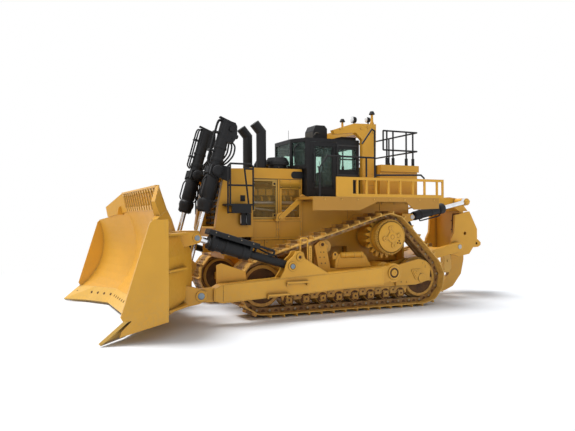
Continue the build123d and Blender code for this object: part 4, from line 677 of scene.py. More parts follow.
# ---------------------------------------------------------------- push arms
def arm_details():
    """The arm's outer skin, its pins, steps, grab loop and slotted hose bracket."""
    skin, caps, steel, dark, loop = Shape(), Shape(), Shape(), Shape(), Shape()
    face = ARM_FACE_Y
    skin.plate([(-0.5, 0.685), (-0.5, 1.045), (0.36, 0.985), (3.39, 0.838), (3.39, 0.492), (0.36, 0.642)],
            face - 0.001, face + 0.01)
    skin.plate([(3.405, 0.485), (3.405, 0.84), (3.56, 0.755), (3.56, 0.53)], face - 0.001, face + 0.006)
    for x0, x1, z in ((1.44, 1.98, 0.845), (1.93, 2.43, 0.6)):
        skin.box(x0, x1, face + 0.005, face + 0.115, z - 0.012, z)
        skin.box(x0, x1, face + 0.105, face + 0.115, z - 0.035, z)
        for x in (x0 + 0.03, x1 - 0.03):
            skin.plate([(x - 0.012, z - 0.1), (x + 0.012, z - 0.1), (x + 0.012, z), (x - 0.012, z)],
                    face + 0.005, face + 0.06)
    skin.make("arm_skins", "yellow_paint", 0.003, body="push_arms")
    ear = face - 0.005
    for (x, z), r in ((TILT_BACK, 0.098), ((1.63, 1.365), 0.082)):
        caps.disc(x, ear + 0.009, z,
                [(r, 0), (r, 0.014), (r - 0.01, 0.02), (r - 0.03, 0.02), (r - 0.032, 0.008)], 36)
    caps.collar(at(*placed(BLADE_PIN, face + 0.004)), at(*placed(BLADE_PIN, face + 0.024)), 0.112, 0.072, 32)
    caps.make("arm_pin_collars", "yellow_paint", 0.002, body="push_arms")
    steel.disc(TILT_BACK[0], ear + 0.014, TILT_BACK[1],
            [(0.05, 0), (0.05, 0.022), (0.042, 0.027), (0.018, 0.027), (0.016, 0.02)], 28)
    steel.make("tilt_pin_ends", "pin_blue", 0, body="push_arms")
    # Painted shade: dark discs stand in for the pin bore and the row of holes in the hose bracket.
    dark.disc(1.63, ear + 0.014, 1.365, [(0.034, 0), (0.034, 0.004)], 24)
    for k in range(5):
        dark.disc(1.32, 2.2065, 1.33 + k * 0.052, [(0.011, 0), (0.011, 0.002)], 12)
    dark.make("arm_hole_shade", "earth_iron", 0, body="push_arms")
    y = 2.19
    loop.tube([at(x, y, z) for x, z in ((1.385, 1.25), (1.385, 1.775), (1.565, 1.775), (1.565, 1.3))],
            0.017, 10, 0.05)
    loop.plate([(1.285, 1.2), (1.285, 1.585), (1.315, 1.605), (1.355, 1.585), (1.365, 1.2)], y - 0.006, y + 0.016)
    loop.make("arm_grab_loops", "yellow_paint", 0.002, body="push_arms")


def placed(x_z, y):
    """A side point (x, z) at a distance to the left."""
    return (x_z[0], y, x_z[1])


# ---------------------------------------------------------------- cylinders
class Line:
    """A cylinder's own axis: distances along it, offsets up from it, and distances to the left of it."""

    def __init__(self, start, end, y):
        self.start, self.end, self.y = start, end, y
        self.way = self.spot(1.0) - self.spot(0.0)
        self.up = self.spot(0.0, 1.0) - self.spot(0.0)

    def spot(self, d, off=0.0, left=0.0):
        x, z = along(self.start, self.end, d, off)
        return at(x, self.y + left, z)

    def sleeve(self, shape, d, steps, sides=36):
        shape.turned(self.spot(d), self.way, steps, sides)

    def band(self, shape, d, outer, inner, length=0.045):
        shape.collar(self.spot(d), self.spot(d + length), outer, inner)

    def bolts(self, shape, d, reach, radius, count=10):
        """A circle of bolts that face along the axis."""
        for k in range(count):
            turn = 2 * math.pi * k / count
            shape.bolt(self.spot(d) + self.up * math.cos(turn) * reach
                    + Vector((0, math.sin(turn) * reach, 0)), self.way, radius, 0.014)

    def pipe(self, shape, places, left, radius=0.018, bend=0.06, sides=10):
        shape.tube([self.spot(d, off, left) for d, off in places], radius, sides, bend)

    def slab(self, shape, outline, left, right):
        """A plate of the outline (distance, offset) between two distances to the left."""
        shape.loft([[self.spot(d, off, side) for d, off in outline] for side in (left, right)])

    def block(self, shape, section, start, end):
        """A bar of the section (offset, left) between two distances."""
        shape.loft([[self.spot(d, off, left) for off, left in section] for d in (start, end)])


def tilt_details():
    """Smooth sleeves on the tilt cylinders, the box guard over each and its pipe loop."""
    line = Line(TILT_BACK, TILT_FRONT, TILT_Y)
    sleeve, gland, guard, bolts, loops, collars, faces = (Shape() for _ in range(7))
    line.sleeve(sleeve, 0.985, [(0.1, 0), (0.152, 0.03), (0.152, 0.62),
            (0.147, 0.62), (0.147, 0.7), (0.152, 0.7), (0.152, 0.8)], 44)
    line.sleeve(sleeve, 0.11, [(0.08, 0), (0.088, 0.02), (0.088, 0.86), (0.12, 0.885)])
    sleeve.make("tilt_sleeves", "black_paint", 0, body="tilt_barrels")
    line.sleeve(gland, 1.775, [(0.15, 0), (0.172, 0.01), (0.172, 0.105),
            (0.16, 0.126), (0.075, 0.128), (0.075, 0.12)], 44)
    line.bolts(gland, 1.902, 0.12, 0.015)
    for d in (1.15, 1.55):
        line.band(gland, d, 0.164, 0.15)
    gland.make("tilt_glands", "black_paint", 0.003, body="tilt_barrels")

    low, high, side = 0.15, 0.262, 0.165
    guard.loft([[line.spot(d, off, left) for off, left in ((low, -side), (high - drop, -side), (high, -0.13),
            (high, 0.13), (high - drop, side), (low, side))]
            for d, drop in ((0.86, 0.03), (0.9, 0.02), (1.98, 0.02), (2.02, 0.03))])
    for d in (1.0, 1.86):
        for way in (1, -1):
            line.block(guard, [(0.02, way * 0.135), (low, way * side), (low, way * 0.15), (0.02, way * 0.12)],
                    d, d + 0.06)
    guard.make("tilt_guards", "black_paint", 0.008, body="tilt_barrels")
    for d in (1.02, 1.3, 1.6, 1.88):
        bolts.bolt(line.spot(d, high - 0.045, 0.16), (0, 1, 0), 0.014, 0.012)
        bolts.bolt(line.spot(d, high, 0.09), line.up, 0.014, 0.01)
    bolts.make("tilt_guard_bolts", "pin_worn", 0, body="tilt_barrels")
    line.pipe(loops, ((0.62, 0.06), (0.46, 0.13), (0.46, 0.215), (0.82, 0.215), (0.9, 0.17), (0.9, 0.08)),
            0.05, 0.026, 0.07, 12)
    line.pipe(loops, ((0.3, 0.075), (0.34, 0.13), (0.6, 0.14), (0.86, 0.19)), -0.09, 0.02)
    loops.make("tilt_pipe_loops", "black_paint", 0, body="tilt_barrels")
    collars.disc(TILT_FRONT[0], 2.264, TILT_FRONT[1], [(0.092, 0), (0.092, 0.012), (0.08, 0.018), (0.06, 0.018)])
    collars.make("tilt_front_collars", "yellow_paint", 0.002, body="blade")
    faces.disc(TILT_FRONT[0], 2.27, TILT_FRONT[1], [(0.056, 0), (0.056, 0.022), (0.048, 0.026)], 28)
    faces.disc(BLADE_PIN[0], 2.304, BLADE_PIN[1], [(0.068, 0), (0.068, 0.024), (0.058, 0.03)], 28)
    faces.make("blade_pin_ends", "pin_blue", 0, body="blade")


def lift_details():
    """Crown blocks, pipes, sleeves, yoke covers and stub caps of the lift cylinders."""
    line = Line(LIFT_YOKE, LIFT_EYE, LIFT_Y)
    sleeve, crown, pipes, clamps, yoke, caps = (Shape() for _ in range(6))
    line.sleeve(sleeve, -1.16, [(0.1, 0), (0.142, 0.02), (0.142, 0.84),
            (0.15, 0.85), (0.15, 0.93), (0.142, 0.94), (0.142, 1.06)], 44)
    line.sleeve(sleeve, 0.1, [(0.145, 0), (0.166, 0.02), (0.166, 0.5), (0.15, 0.53), (0.15, 0.56), (0.185, 0.6),
            (0.19, 0.68), (0.168, 0.75), (0.168, 0.83), (0.14, 0.855), (0.08, 0.857), (0.08, 0.84)], 44)
    line.bolts(sleeve, 0.955, 0.112, 0.014)
    sleeve.make("lift_sleeves", "black_paint", 0, body="lift_barrels")

    block = [(-1.235, 0.115), (-1.235, -0.175), (-1.17, -0.235),
            (-0.92, -0.3), (-0.76, -0.235), (-0.74, -0.1), (-0.78, 0.1)]
    heel = [(-1.235, -0.12), (-1.235, -0.175), (-1.17, -0.235), (-0.92, -0.3), (-0.76, -0.235), (-0.75, -0.12)]
    for left in (-0.118, 0.0955):
        line.slab(crown, block, left, left + 0.0225)
    line.slab(crown, heel, -0.0955, 0.0955)
    line.slab(crown, ((-1.285, 0.2), (-1.25, 0.2), (-1.215, -0.12), (-1.25, -0.12)), -0.05, 0.05)
    for d, off in ((-1.2, -0.05), (-1.12, -0.17), (-0.86, -0.2), (-0.86, 0.02)):
        crown.bolt(line.spot(d, off, 0.118), (0, 1, 0), 0.022, 0.02)
    crown.turned(line.spot(-1.06, -0.12, 0.118), (0, 1, 0), [(0.06, 0), (0.06, 0.035), (0.045, 0.045)], 24)
    crown.turned(line.spot(-0.95, -0.24), -line.up, [(0.05, 0), (0.05, 0.1), (0.038, 0.11)], 20)
    for d in (-0.6, -0.3):
        line.band(crown, d, 0.156, 0.14, 0.05)
    crown.make("lift_crowns", "black_paint", 0.012, body="lift_barrels")

    for left, drop in ((0.045, 0.0), (-0.035, 0.035)):
        line.pipe(pipes, [(d, off - drop) for d, off in ((-1.2, 0.06), (-1.2, 0.215),
                (-1.1, 0.235), (-0.22, 0.235), (-0.16, 0.15))], left, 0.02, 0.09)
    for reach, left in ((0.33, 0.05), (0.27, -0.02), (0.21, -0.09)):
        line.pipe(pipes, ((-0.8, -0.2), (-0.72, -reach), (-0.5, -reach - 0.02),
                (-0.28, -reach + 0.09), (-0.19, -0.14)), left, 0.021, 0.16)
    for way in (1, -1):
        line.pipe(pipes, [(d, way * off) for d, off in ((0.16, 0.16), (0.24, 0.205), (0.6, 0.205), (0.66, 0.15))],
                way * 0.06)
    pipes.make("lift_pipes", "black_paint", 0, body="lift_barrels")
    for d in (-0.92, -0.48):
        line.block(clamps, ((0.12, -0.07), (0.262, -0.07), (0.262, 0.08), (0.12, 0.08)), d, d + 0.035)
    clamps.make("lift_pipe_clamps", "black_paint", body="lift_barrels")

    cheek = [(-0.115, -0.16), (-0.145, -0.08), (-0.145, 0.08), (-0.115, 0.16)]
    cheek += [(-d, -off) for d, off in cheek]
    for left in (-0.258, 0.196):
        line.slab(yoke, cheek, left, left + 0.062)
    yoke.make("yoke_cheeks", "black_paint", 0.01, body="lift_yokes")
    lug = [(2.825, 3.045), (2.785, 3.405), (3.085, 3.435), (3.205, 3.35), (3.205, 3.235), (3.09, 3.165)]
    for way in (1, -1):
        caps.plate(lug, *sorted((LIFT_Y + way * 0.258, LIFT_Y + way * 0.275)))
        caps.turned(at(LIFT_YOKE[0], LIFT_Y + way * 0.274, LIFT_YOKE[1]), (0, way, 0),
                [(0.105, 0), (0.128, 0.015), (0.128, 0.05), (0.095, 0.075), (0.05, 0.08)], 32)
    caps.make("yoke_stub_caps", "black_paint")


def ripper_cylinder_details():
    """Sleeves, clamps and end nuts of the ripper's tilt and lift cylinders."""
    line = Line(RIPPER_TILT_FRONT, RIPPER_TILT_REAR, RIPPER_Y)
    sleeve, nut, low = (Shape() for _ in range(3))
    line.sleeve(sleeve, 0.1, [(0.07, 0), (0.122, 0.03), (0.122, 0.8), (0.118, 0.8), (0.118, 0.84),
            (0.145, 0.86), (0.145, 0.99), (0.125, 1.03), (0.065, 1.032), (0.065, 1.02)], 40)
    for d in (0.3, 0.66):
        line.band(sleeve, d, 0.132, 0.12)
    line.pipe(sleeve, ((0.26, 0.1), (0.26, 0.165), (0.93, 0.175), (0.97, 0.13)), 0.03, bend=0.05)
    sleeve.make("ripper_tilt_sleeves", "black_paint", 0.002, body="ripper_tilt_barrels")
    eye = math.dist(RIPPER_TILT_FRONT, RIPPER_TILT_REAR)
    for left, steps, sides in ((0.055, [(0.098, 0), (0.098, 0.01), (0.086, 0.016)], 36),
            (0.07, [(0.08, 0), (0.08, 0.034), (0.07, 0.04)], 6),
            (0.109, [(0.044, 0), (0.044, 0.012), (0.034, 0.016)], 24)):
        nut.turned(line.spot(eye, 0.0, left), (0, 1, 0), steps, sides)
    nut.make("ripper_tilt_nuts", "yellow_paint", 0.003, body="ripper_tilt_rods")
    Line(RIPPER_LIFT_FRONT, RIPPER_LIFT_REAR, RIPPER_LIFT_Y).sleeve(low, 0.1,
            [(0.06, 0), (0.102, 0.03), (0.102, 0.74), (0.122, 0.76), (0.122, 0.9), (0.058, 0.912)])
    low.make("ripper_lift_sleeves", "black_paint", 0.002, body="ripper_lift_barrels")


# ---------------------------------------------------------------- blade
def blade_details():
    """Weld beads on the cheeks, bolts along the cutting edges, ribs on the moldboard, and the lifting lugs."""
    bolts, lugs, ribs = Shape(), Shape(), Shape()
    slope = WING_SET / (BLADE_HALF - BLADE_CENTRE)
    foot_x, tip_x, corner_x, corner_y = 4.838, 5.075, 6.02, 2.75
    foot_z, drop, share = 0.41, 0.34, 0.42
    for y in [0.13 + 0.26 * k for k in range(7)] + [2.03 + 0.235 * k for k in range(6)]:
        ahead = max(0.0, y - BLADE_CENTRE) * slope
        reach = tip_x + (corner_x - tip_x - WING_SET) * max(0.0, (y - corner_y) / (BLADE_HALF - corner_y)) - foot_x
        run = Vector((slope if y > BLADE_CENTRE else 0.0, 1, 0)).normalized()
        out = run.cross(Vector((reach, 0, -drop)).normalized())
        out *= 1 if out.x > 0 else -1
        bolts.turned(at(foot_x + ahead + reach * share, y, foot_z - drop * share) - out * 0.004,
                out, [(0.034, 0), (0.034, 0.01), (0.02, 0.014)], 12)
    bolts.make("edge_bolts", "earth_iron", 0, body="blade")
    for y in (0.0, 0.78, 1.56):
        ribs.loft([[at(x, y + w, z) for x, z in ((4.478, 2.402), (4.4, 2.402), (4.3, 1.965), (4.342, 1.965))]
                for w in (-0.02, 0.02)])
    ribs.make("moldboard_ribs", "yellow_paint", body="blade")
    lugs.plate([(4.62, 2.33), (4.8, 2.33), (4.76, 2.53), (4.7, 2.56), (4.64, 2.53)], 2.13, 2.17)
    lugs.make("blade_lifting_lugs", "yellow_paint", body="blade")
    beads = Shape()
    beads.tube([at(x, BLADE_HALF - 0.004, z) for x, z in ((4.8, 2.18), (4.8, 0.37), (4.985, 0.32), (5.64, 0.16))],
            0.004, 6)
    beads.tube([at(x, BLADE_HALF - 0.004, z) for x, z in ((5.06, 2.19), (5.13, 2.13), (5.62, 0.5))], 0.004, 6)
    beads.make("cheek_welds", "dark_iron", 0, body="blade")


def guard_details():
    """Top lip along the rock guard and the ribs between its slots."""
    lip, ribs = Shape(), Shape()
    half = BLADE_CENTRE
    lip.loft([[at(x, y, z) for x, z in ((4.628, 2.858), (4.712, 2.858), (4.716, 2.902), (4.63, 2.902))]
            for y in (-half, half)])
    lip.make("guard_lip", "yellow_paint", 0.006, body="blade", both=False)
    step = 2 * half / 15
    for k in range(14):
        y = -half + step * (k + 1)
        ribs.loft([[at(x, y + w, z) for x, z in ((4.602, 2.41), (4.618, 2.41), (4.712, 2.85), (4.696, 2.85))]
                for w in (-0.022, 0.022)])
    ribs.make("guard_ribs", "yellow_paint", 0.003, body="blade", both=False)


# ---------------------------------------------------------------- engine enclosure, cab, seat, decks and ripper
def mirrored(shape):
    """The same shape on the right side, for pieces whose bodies differ from side to side."""
    other = Shape()
    other.verts = [(x, -y, z) for x, y, z in shape.verts]
    other.faces = [tuple(reversed(face)) for face in shape.faces]
    return other


def rim(shape, outer, inner, y0, y1):
    """A flat frame between two rectangles (x0, x1, z0, z1)."""
    shape.box(outer[0], outer[1], y0, y1, outer[2], inner[2])
    shape.box(outer[0], outer[1], y0, y1, inner[3], outer[3])
    shape.box(outer[0], inner[0], y0, y1, inner[2], inner[3])
    shape.box(inner[1], outer[1], y0, y1, inner[2], inner[3])


def wire_mesh(shape, x0, x1, z0, z1, y, pitch=0.03, wire=0.004):
    """Crossed wires in a rectangle."""
    for k in range(round((x1 - x0) / pitch) + 1):
        x = x0 + (x1 - x0) * k / round((x1 - x0) / pitch)
        shape.tube([at(x, y, z0), at(x, y, z1)], wire, 5)
    for k in range(round((z1 - z0) / pitch) + 1):
        z = z0 + (z1 - z0) * k / round((z1 - z0) / pitch)
        shape.tube([at(x0, y + wire, z), at(x1, y + wire, z)], wire, 5)


def engine_enclosure():
    """Side panels, mesh doors with their latches, and the engine parts that show behind the mesh."""
    panels = Shape()
    for x0, x1 in ((0.802, 1.446), (1.454, 2.158)):
        rim(panels, (x0, x1, 1.702, 2.196), (x0 + 0.045, x1 - 0.045, 1.747, 2.151), 0.714, HOOD_HALF)
        panels.box(x0 + 0.044, x1 - 0.044, 0.718, 0.738, 1.746, 2.152)
        for x in (x0 + 0.022, x1 - 0.022):
            for z in (1.76, 1.95, 2.14):
                panels.stud(x, HOOD_HALF, z, 0.012, 0.01)
    panels.box(0.842, 1.398, 0.712, HOOD_HALF, 2.96, 3.163)
    rim(panels, (0.842, 1.398, 2.204, 2.96), (0.885, 1.355, 2.247, 2.93), 0.712, HOOD_HALF)
    for x in (0.87, 1.12, 1.37):
        panels.stud(x, HOOD_HALF, 3.13, 0.012, 0.01)
        panels.stud(x, HOOD_HALF, 2.99, 0.012, 0.01)
    wire_mesh(panels, 0.885, 1.355, 2.247, 2.93, 0.728)
    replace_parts(panels.make("engine_side_panels", "yellow_paint", 0.003), "engine_panels")
    door = Shape()
    rim(door, ENGINE_DOOR, (1.515, 2.105, 2.253, 3.112), 0.712, 0.748)
    door.box(1.515, 1.6, 0.714, 0.746, 3.0, 3.112)
    door.box(1.515, 1.6, 0.714, 0.746, 2.253, 2.335)
    wire_mesh(door, 1.515, 2.105, 2.253, 3.112, 0.728)
    for z in (2.45, 2.92):
        door.box(2.06, 2.15, 0.748, 0.756, z - 0.055, z + 0.055)
        door.turned(at(2.152, 0.778, z - 0.055), (0, 0, 1),
                [(0.021, 0), (0.025, 0.004), (0.025, 0.106), (0.021, 0.11)], 16)
        for way in (-0.03, 0.03):
            door.stud(2.085, 0.756, z + way, 0.01, 0.008)
    knob = Shape()
    for z in (3.055, 2.295):
        knob.disc(1.545, 0.746, z, [(0.026, 0), (0.026, 0.006), (0.015, 0.01), (0.013, 0.022), (0.006, 0.026)], 16)
    for side, shape, small in (("left", door, knob), ("right", mirrored(door), mirrored(knob))):
        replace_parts(shape.make(f"engine_door_mesh_{side}", "mesh_panel", 0.003,
                body=f"engine_door_{side}", both=False), f"engine_door_{side}")
        small.make(f"engine_door_latches_{side}", "black_paint", 0.001, body=f"engine_door_{side}", both=False)
    heads = Shape()
    for k in range(6):
        x = 0.93 + 0.2 * k
        heads.box(x, x + 0.17, 0.47, 0.6, 2.78, 2.93)
        heads.stud(x + 0.085, 0.6, 2.87, 0.014, 0.012)
        heads.tube([at(x + 0.085, 0.52, 2.78), at(x + 0.085, 0.6, 2.7), at(x + 0.085, 0.6, 2.62)], 0.028, 10, 0.04)
    heads.box(0.88, 2.12, 0.46, 0.58, 2.5, 2.56)
    heads.make("engine_head_covers", "yellow_paint")
    pipes = Shape()
    pipes.tube([at(0.86, 0.62, 2.6), at(2.12, 0.62, 2.6)], 0.042, 14)
    pipes.tube([at(0.9, 0.64, 2.42), at(1.5, 0.64, 2.4), at(2.05, 0.64, 2.46), at(2.12, 0.6, 2.72)],
            0.024, 12, 0.08)
    for k in range(4):
        pipes.turned(at(1.02 + 0.31 * k, 0.62, 2.6), (1, 0, 0),
                [(0.05, -0.02), (0.055, -0.014), (0.055, 0.014), (0.05, 0.02)], 16)
    pipes.make("engine_air_pipes", "pin_steel", 0.001)
    dark = Shape()
    for x in (0.98, 1.12, 1.78):
        dark.turned(at(x, 0.61, 2.24), (0, 0, 1),
                [(0.045, 0), (0.052, 0.01), (0.052, 0.12), (0.047, 0.13), (0.02, 0.135), (0.02, 0.16)], 18)
    dark.tube([at(1.3, 0.62, 2.2), at(1.32, 0.66, 2.36), at(1.62, 0.66, 2.34), at(1.66, 0.62, 2.2)],
            0.022, 10, 0.06)
    dark.box(0.9, 2.1, 0.48, 0.6, 2.06, 2.14)
    dark.make("engine_filters_and_lines", "dark_iron", 0.002)
    pill = Shape()
    half = 0.09
    ends = [(0.84 - half * math.cos(a), 3.28 + half * math.sin(a))
            for a in (math.radians(t) for t in range(-90, 91, 15))]
    ends += [(1.01 + half * math.cos(a), 3.28 + half * math.sin(a))
            for a in (math.radians(t) for t in range(90, -91, -15))]
    pill.plate(ends, HOOD_HALF + FILM, 0.756)
    pill.plate([(0.925 + (x - 0.925) * 0.93, 3.28 + (z - 3.28) * 0.86) for x, z in ends], 0.756, 0.7575)
    pill.make("hood_side_plates", "black_paint", 0.0015)
    belly = Shape()
    for x0, x1 in ((0.8, 1.8), (1.81, 2.9)):
        belly.box(x0, x1, 0.712, 0.728, 1.352, 1.696)
        for x in (x0 + 0.06, (x0 + x1) / 2, x1 - 0.06):
            for z in (1.4, 1.65):
                belly.stud(x, 0.728, z, 0.014, 0.012)
    belly.make("belly_side_plates", "yellow_paint", 0.003)
    hull = Shape()
    for x0, x1 in ((-2.45, -1.52), (-1.51, -0.53)):
        hull.box(x0, x1, 0.664, 0.69, 2.1, 2.652)
        for x in (x0 + 0.07, (x0 + x1) / 2, x1 - 0.07):
            for z in (2.16, 2.6):
                hull.stud(x, 0.69, z, 0.018, 0.014)
    hull.make("hull_side_covers", "yellow_paint")


def hood_and_nose():
    """Hood handrail, seams and bolts, work lamps, deck struts and the nose vents."""
    rail = Shape()
    rail.tube([at(0.97, 0.7, 3.57), at(0.98, 0.7, 3.98), at(0.87, 0.7, 4.05)], 0.017, 12, 0.1)
    rail.turned(at(0.97, 0.7, 3.56), (0, 0, 1), [(0.045, 0), (0.045, 0.012), (0.02, 0.014)], 16)
    rail.make("hood_handrail", "black_paint", 0.001, both=False)
    seam, seam_y = Shape(), HOOD_HALF + 0.0003
    for x in (1.405, 1.457):
        seam.box(x, x + 0.006, seam_y, 0.7525, 2.21, 3.16)
    seam.box(0.82, 2.15, seam_y, 0.7525, 3.168, 3.178)
    for x in (0.9, 1.2, 1.43, 1.7, 2.0):
        seam.stud(x, seam_y, 3.46, 0.012, 0.01)
    seam.make("hood_seams_and_bolts", "dark_iron", 0.0)
    lamps, lens = Shape(), Shape()
    for x0, x1 in ((2.395, 2.505), (2.262, 2.372)):
        lamps.box(x0, x1, 0.93, 1.02, 2.06, 2.34)
        lamps.box(x0 + 0.03, x1 - 0.03, 0.86, 0.94, 2.1, 2.14)
        lens.box(x1 - 0.002, x1 + 0.006, 0.945, 1.005, 2.1, 2.3)
    lamps.make("nose_work_lamps", "black_paint", 0.006)
    lens.make("nose_lamp_lenses", "lamp_lens", 0.003)
    nose = Shape()
    nose.plate([(0.8, 2.74), (0.92, 2.8), (1.56, 2.24), (1.5, 2.15)], 0.985, 1.01)
    nose.plate([(1.36, 2.15), (1.62, 2.15), (1.58, 2.32), (1.44, 2.38)], 0.97, 0.985)
    for x, z in ((0.88, 2.74), (1.49, 2.22)):
        nose.stud(x, 1.01, z, 0.022, 0.018)
    nose.box(0.84, 0.96, 0.752, 0.99, 2.66, 2.7)
    nose.box(1.44, 1.56, 0.752, 0.99, 2.17, 2.21)
    nose.make("deck_struts", "yellow_paint")
    for side, way in (("left", 1), ("right", -1)):
        vent = Shape()
        vent.box(2.36, 2.48, way * (NOSE_HALF + FILM), way * 0.886, 2.62, 2.76)
        for k in range(4):
            vent.box(2.37, 2.47, way * 0.886, way * 0.892, 2.634 + 0.031 * k, 2.644 + 0.031 * k)
        vent.make(f"nose_vent_{side}", "black_paint", 0.002, both=False)


def cab_details():
    """Door glass, trims and handles, window trims, consoles, dash, sills, roof fins and aerial."""
    door, pane, handle = Shape(), Shape(), Shape()
    rim(door, (0.035, 0.555, 2.995, 4.005), (0.195, 0.505, 3.285, 3.925), 0.915, 0.925)
    rim(door, (0.06, 0.53, 3.02, 3.98), (0.075, 0.515, 3.035, 3.965), CAB_HALF + FILM, 0.957)
    door.box(0.08, 0.5, CAB_HALF + FILM, 0.956, 2.8, 2.93)
    for x in (0.02, 0.57):
        for z in (2.98, 3.4, 3.8, 4.03):
            door.stud(x, CAB_HALF + FILM, z, 0.011, 0.009)
    pane.box(0.036, 0.554, 0.927, 0.934, 2.996, 4.004)
    handle.tube([at(0.575, CAB_HALF, 3.1), at(0.575, 1.0, 3.13), at(0.575, 1.0, 3.78), at(0.575, CAB_HALF, 3.82)],
            0.012, 10, 0.03)
    handle.box(0.46, 0.56, 0.957, 0.972, 2.955, 2.985)
    handle.tube([at(0.3, 0.945, 3.03), at(0.42, 0.948, 3.62)], 0.007, 8)
    handle.box(0.28, 0.33, 0.937, 0.962, 3.0, 3.05)
    for side in ("left", "right"):
        body = f"cab_door_{side}"
        turn = (lambda s: s) if side == "left" else mirrored
        turn(door).make(f"cab_door_trim_{side}", "black_paint", 0.003, body=body, both=False)
        turn(pane).make(f"cab_door_glass_{side}", "cab_glass", 0.0, body=body, both=False)
        turn(handle).make(f"cab_door_handle_{side}", "rubber", 0.001, body=body, both=False)
    trims = Shape()
    rim(trims, (-0.725, -0.085, 3.285, 4.065), (-0.69, -0.12, 3.32, 4.03), CAB_HALF + FILM, 0.958)
    for x in (-0.74, -0.07):
        for z in (3.15, 3.6, 4.1):
            trims.stud(x, CAB_HALF + FILM, z, 0.012, 0.01)
    trims.make("cab_side_window_trims", "rubber", 0.002)
    desk = Shape()
    desk.box(-0.4, 0.14, 0.34, 0.48, 3.16, 3.4)
    desk.plate([(0.14, 3.16), (0.14, 3.4), (0.24, 3.36), (0.26, 3.16)], 0.35, 0.47)
    desk.box(-0.38, -0.02, 0.35, 0.47, 3.4, 3.44)
    for x, y in ((0.08, 0.38), (0.16, 0.44)):
        desk.tube([at(x, y, 3.36), at(x + 0.02, y, 3.52)], 0.008, 8)
        desk.turned(at(x + 0.02, y, 3.51), (0, 0, 1),
                [(0.012, 0), (0.022, 0.012), (0.024, 0.03), (0.014, 0.048)], 14)
    desk.make("cab_arm_consoles", "rubber", 0.006)
    dash = Shape()
    dash.plate([(0.52, 2.8), (0.62, 2.8), (0.6, 3.3), (0.5, 3.36), (0.46, 3.34)], -0.25, 0.25)
    dash.plate([(0.44, 3.36), (0.47, 3.34), (0.53, 3.55), (0.5, 3.57)], -0.2, 0.2)
    dash.make("cab_dash", "rubber", 0.006, both=False)
    feet = Shape()
    feet.box(0.16, 0.52, 0.955, 1.1, 2.735, 2.75)
    for k in range(5):
        feet.box(0.19 + 0.07 * k, 0.205 + 0.07 * k, 0.965, 1.09, 2.75, 2.756)
    feet.make("cab_sill_steps", "cap_white", 0.002)
    roof = Shape()
    roof.tube([at(0.3, 0.72, 4.35), at(0.42, 0.78, 4.36), at(0.48, 0.78, 4.28)], 0.018, 10, 0.05)
    for k in range(6):
        roof.box(0.14 + 0.035 * k, 0.155 + 0.035 * k, 0.25, 0.68, 4.56, 4.566)
    roof.box(0.44, 0.452, 0.27, 0.66, 4.24, 4.4)
    roof.make("roof_unit_fins", "dark_iron", 0.001, both=False)
    aerial = Shape()
    aerial.tube([at(0.6, -0.45, 4.2), at(0.6, -0.45, 4.56)], 0.005, 6)
    aerial.turned(at(0.6, -0.45, 4.19), (0, 0, 1), [(0.02, 0), (0.018, 0.03), (0.008, 0.05)], 12)
    aerial.make("aerial", "black_paint", 0.0, both=False)


def rops_details():
    """Bolts and foot plates of the roll-over frame, its lamps and its masts."""
    frame_bolts = Shape()
    for x, z in ((-1.05, 2.82), (-0.82, 2.82), (-1.05, 2.96), (-0.82, 2.96),
            (-1.06, 4.4), (-0.9, 4.52), (-0.7, 4.48), (-0.1, 4.44)):
        frame_bolts.stud(x, ROPS_HALF, z, 0.024, 0.02)
    frame_bolts.plate([(-1.11, 2.735), (-0.75, 2.735), (-0.75, 3.04), (-1.11, 3.04)], ROPS_HALF + FILM, 1.112)
    frame_bolts.make("rops_bolts", "yellow_paint", 0.003)
    lamps, lens = Shape(), Shape()
    for x, y, low, high, radius in ((-0.8, 0.6, 4.67, 4.89, 0.085), (-1.1, 0.8, 4.69, 4.85, 0.07)):
        middle = (low + high) / 2
        lamps.tube([at(x, y, 4.6), at(x, y, low + 0.03)], 0.02, 10)
        lamps.turned(at(x - 0.06, y, middle), (1, 0, 0),
                [(radius * 0.45, 0), (radius * 0.9, 0.02), (radius, 0.06), (radius, 0.12)], 24)
        lens.turned(at(x + 0.06, y, middle), (1, 0, 0),
                [(radius * 0.93, 0), (radius * 0.8, 0.01), (radius * 0.3, 0.016)], 24)
    lamps.make("roof_lamps", "black_paint", 0.003, both=False)
    lens.make("roof_lamp_lenses", "lamp_lens", 0.0, both=False)
    masts, caps = Shape(), Shape()
    for y, top in MASTS:
        masts.turned(at(MAST_X, y, 4.6), (0, 0, 1),
                [(0.055, 0), (0.052, 0.06), (0.036, 0.1), (0.03, top - 4.6 - 0.09)], 20)
        caps.turned(at(MAST_X, y, top - 0.079), (0, 0, 1),
                [(0.06, -0.012), (0.079, 0.0), (0.08, 0.005), (0.0445, 0.0788)], 24)
    masts.make("mast_stems", "yellow_paint", 0.001, both=False)
    caps.make("mast_caps", "black_paint", 0.001, both=False)


def deck_details():
    """Bolts along the fenders and the fittings that hang under the deck."""
    guard = Shape()
    for x in (-2.4, -1.95, -1.5, -1.05, -0.6, -0.15, 0.3, 0.75):
        guard.stud(x, DECK_EDGE, 2.66, 0.018, 0.014)
    guard.make("fender_bolts", "yellow_paint", 0.001)
    under = Shape()
    under.tube([at(0.3, 1.2, 2.62), at(0.34, 1.2, 2.5), at(0.4, 1.2, 2.46), at(0.62, 1.2, 2.48)], 0.026, 10, 0.05)
    under.box(0.26, 0.42, 1.1, 1.32, 2.46, 2.6)
    for x in (0.3, 0.38):
        under.stud(x, 1.32, 2.54, 0.02, 0.03)
    under.make("deck_fittings", "black_paint", 0.003)


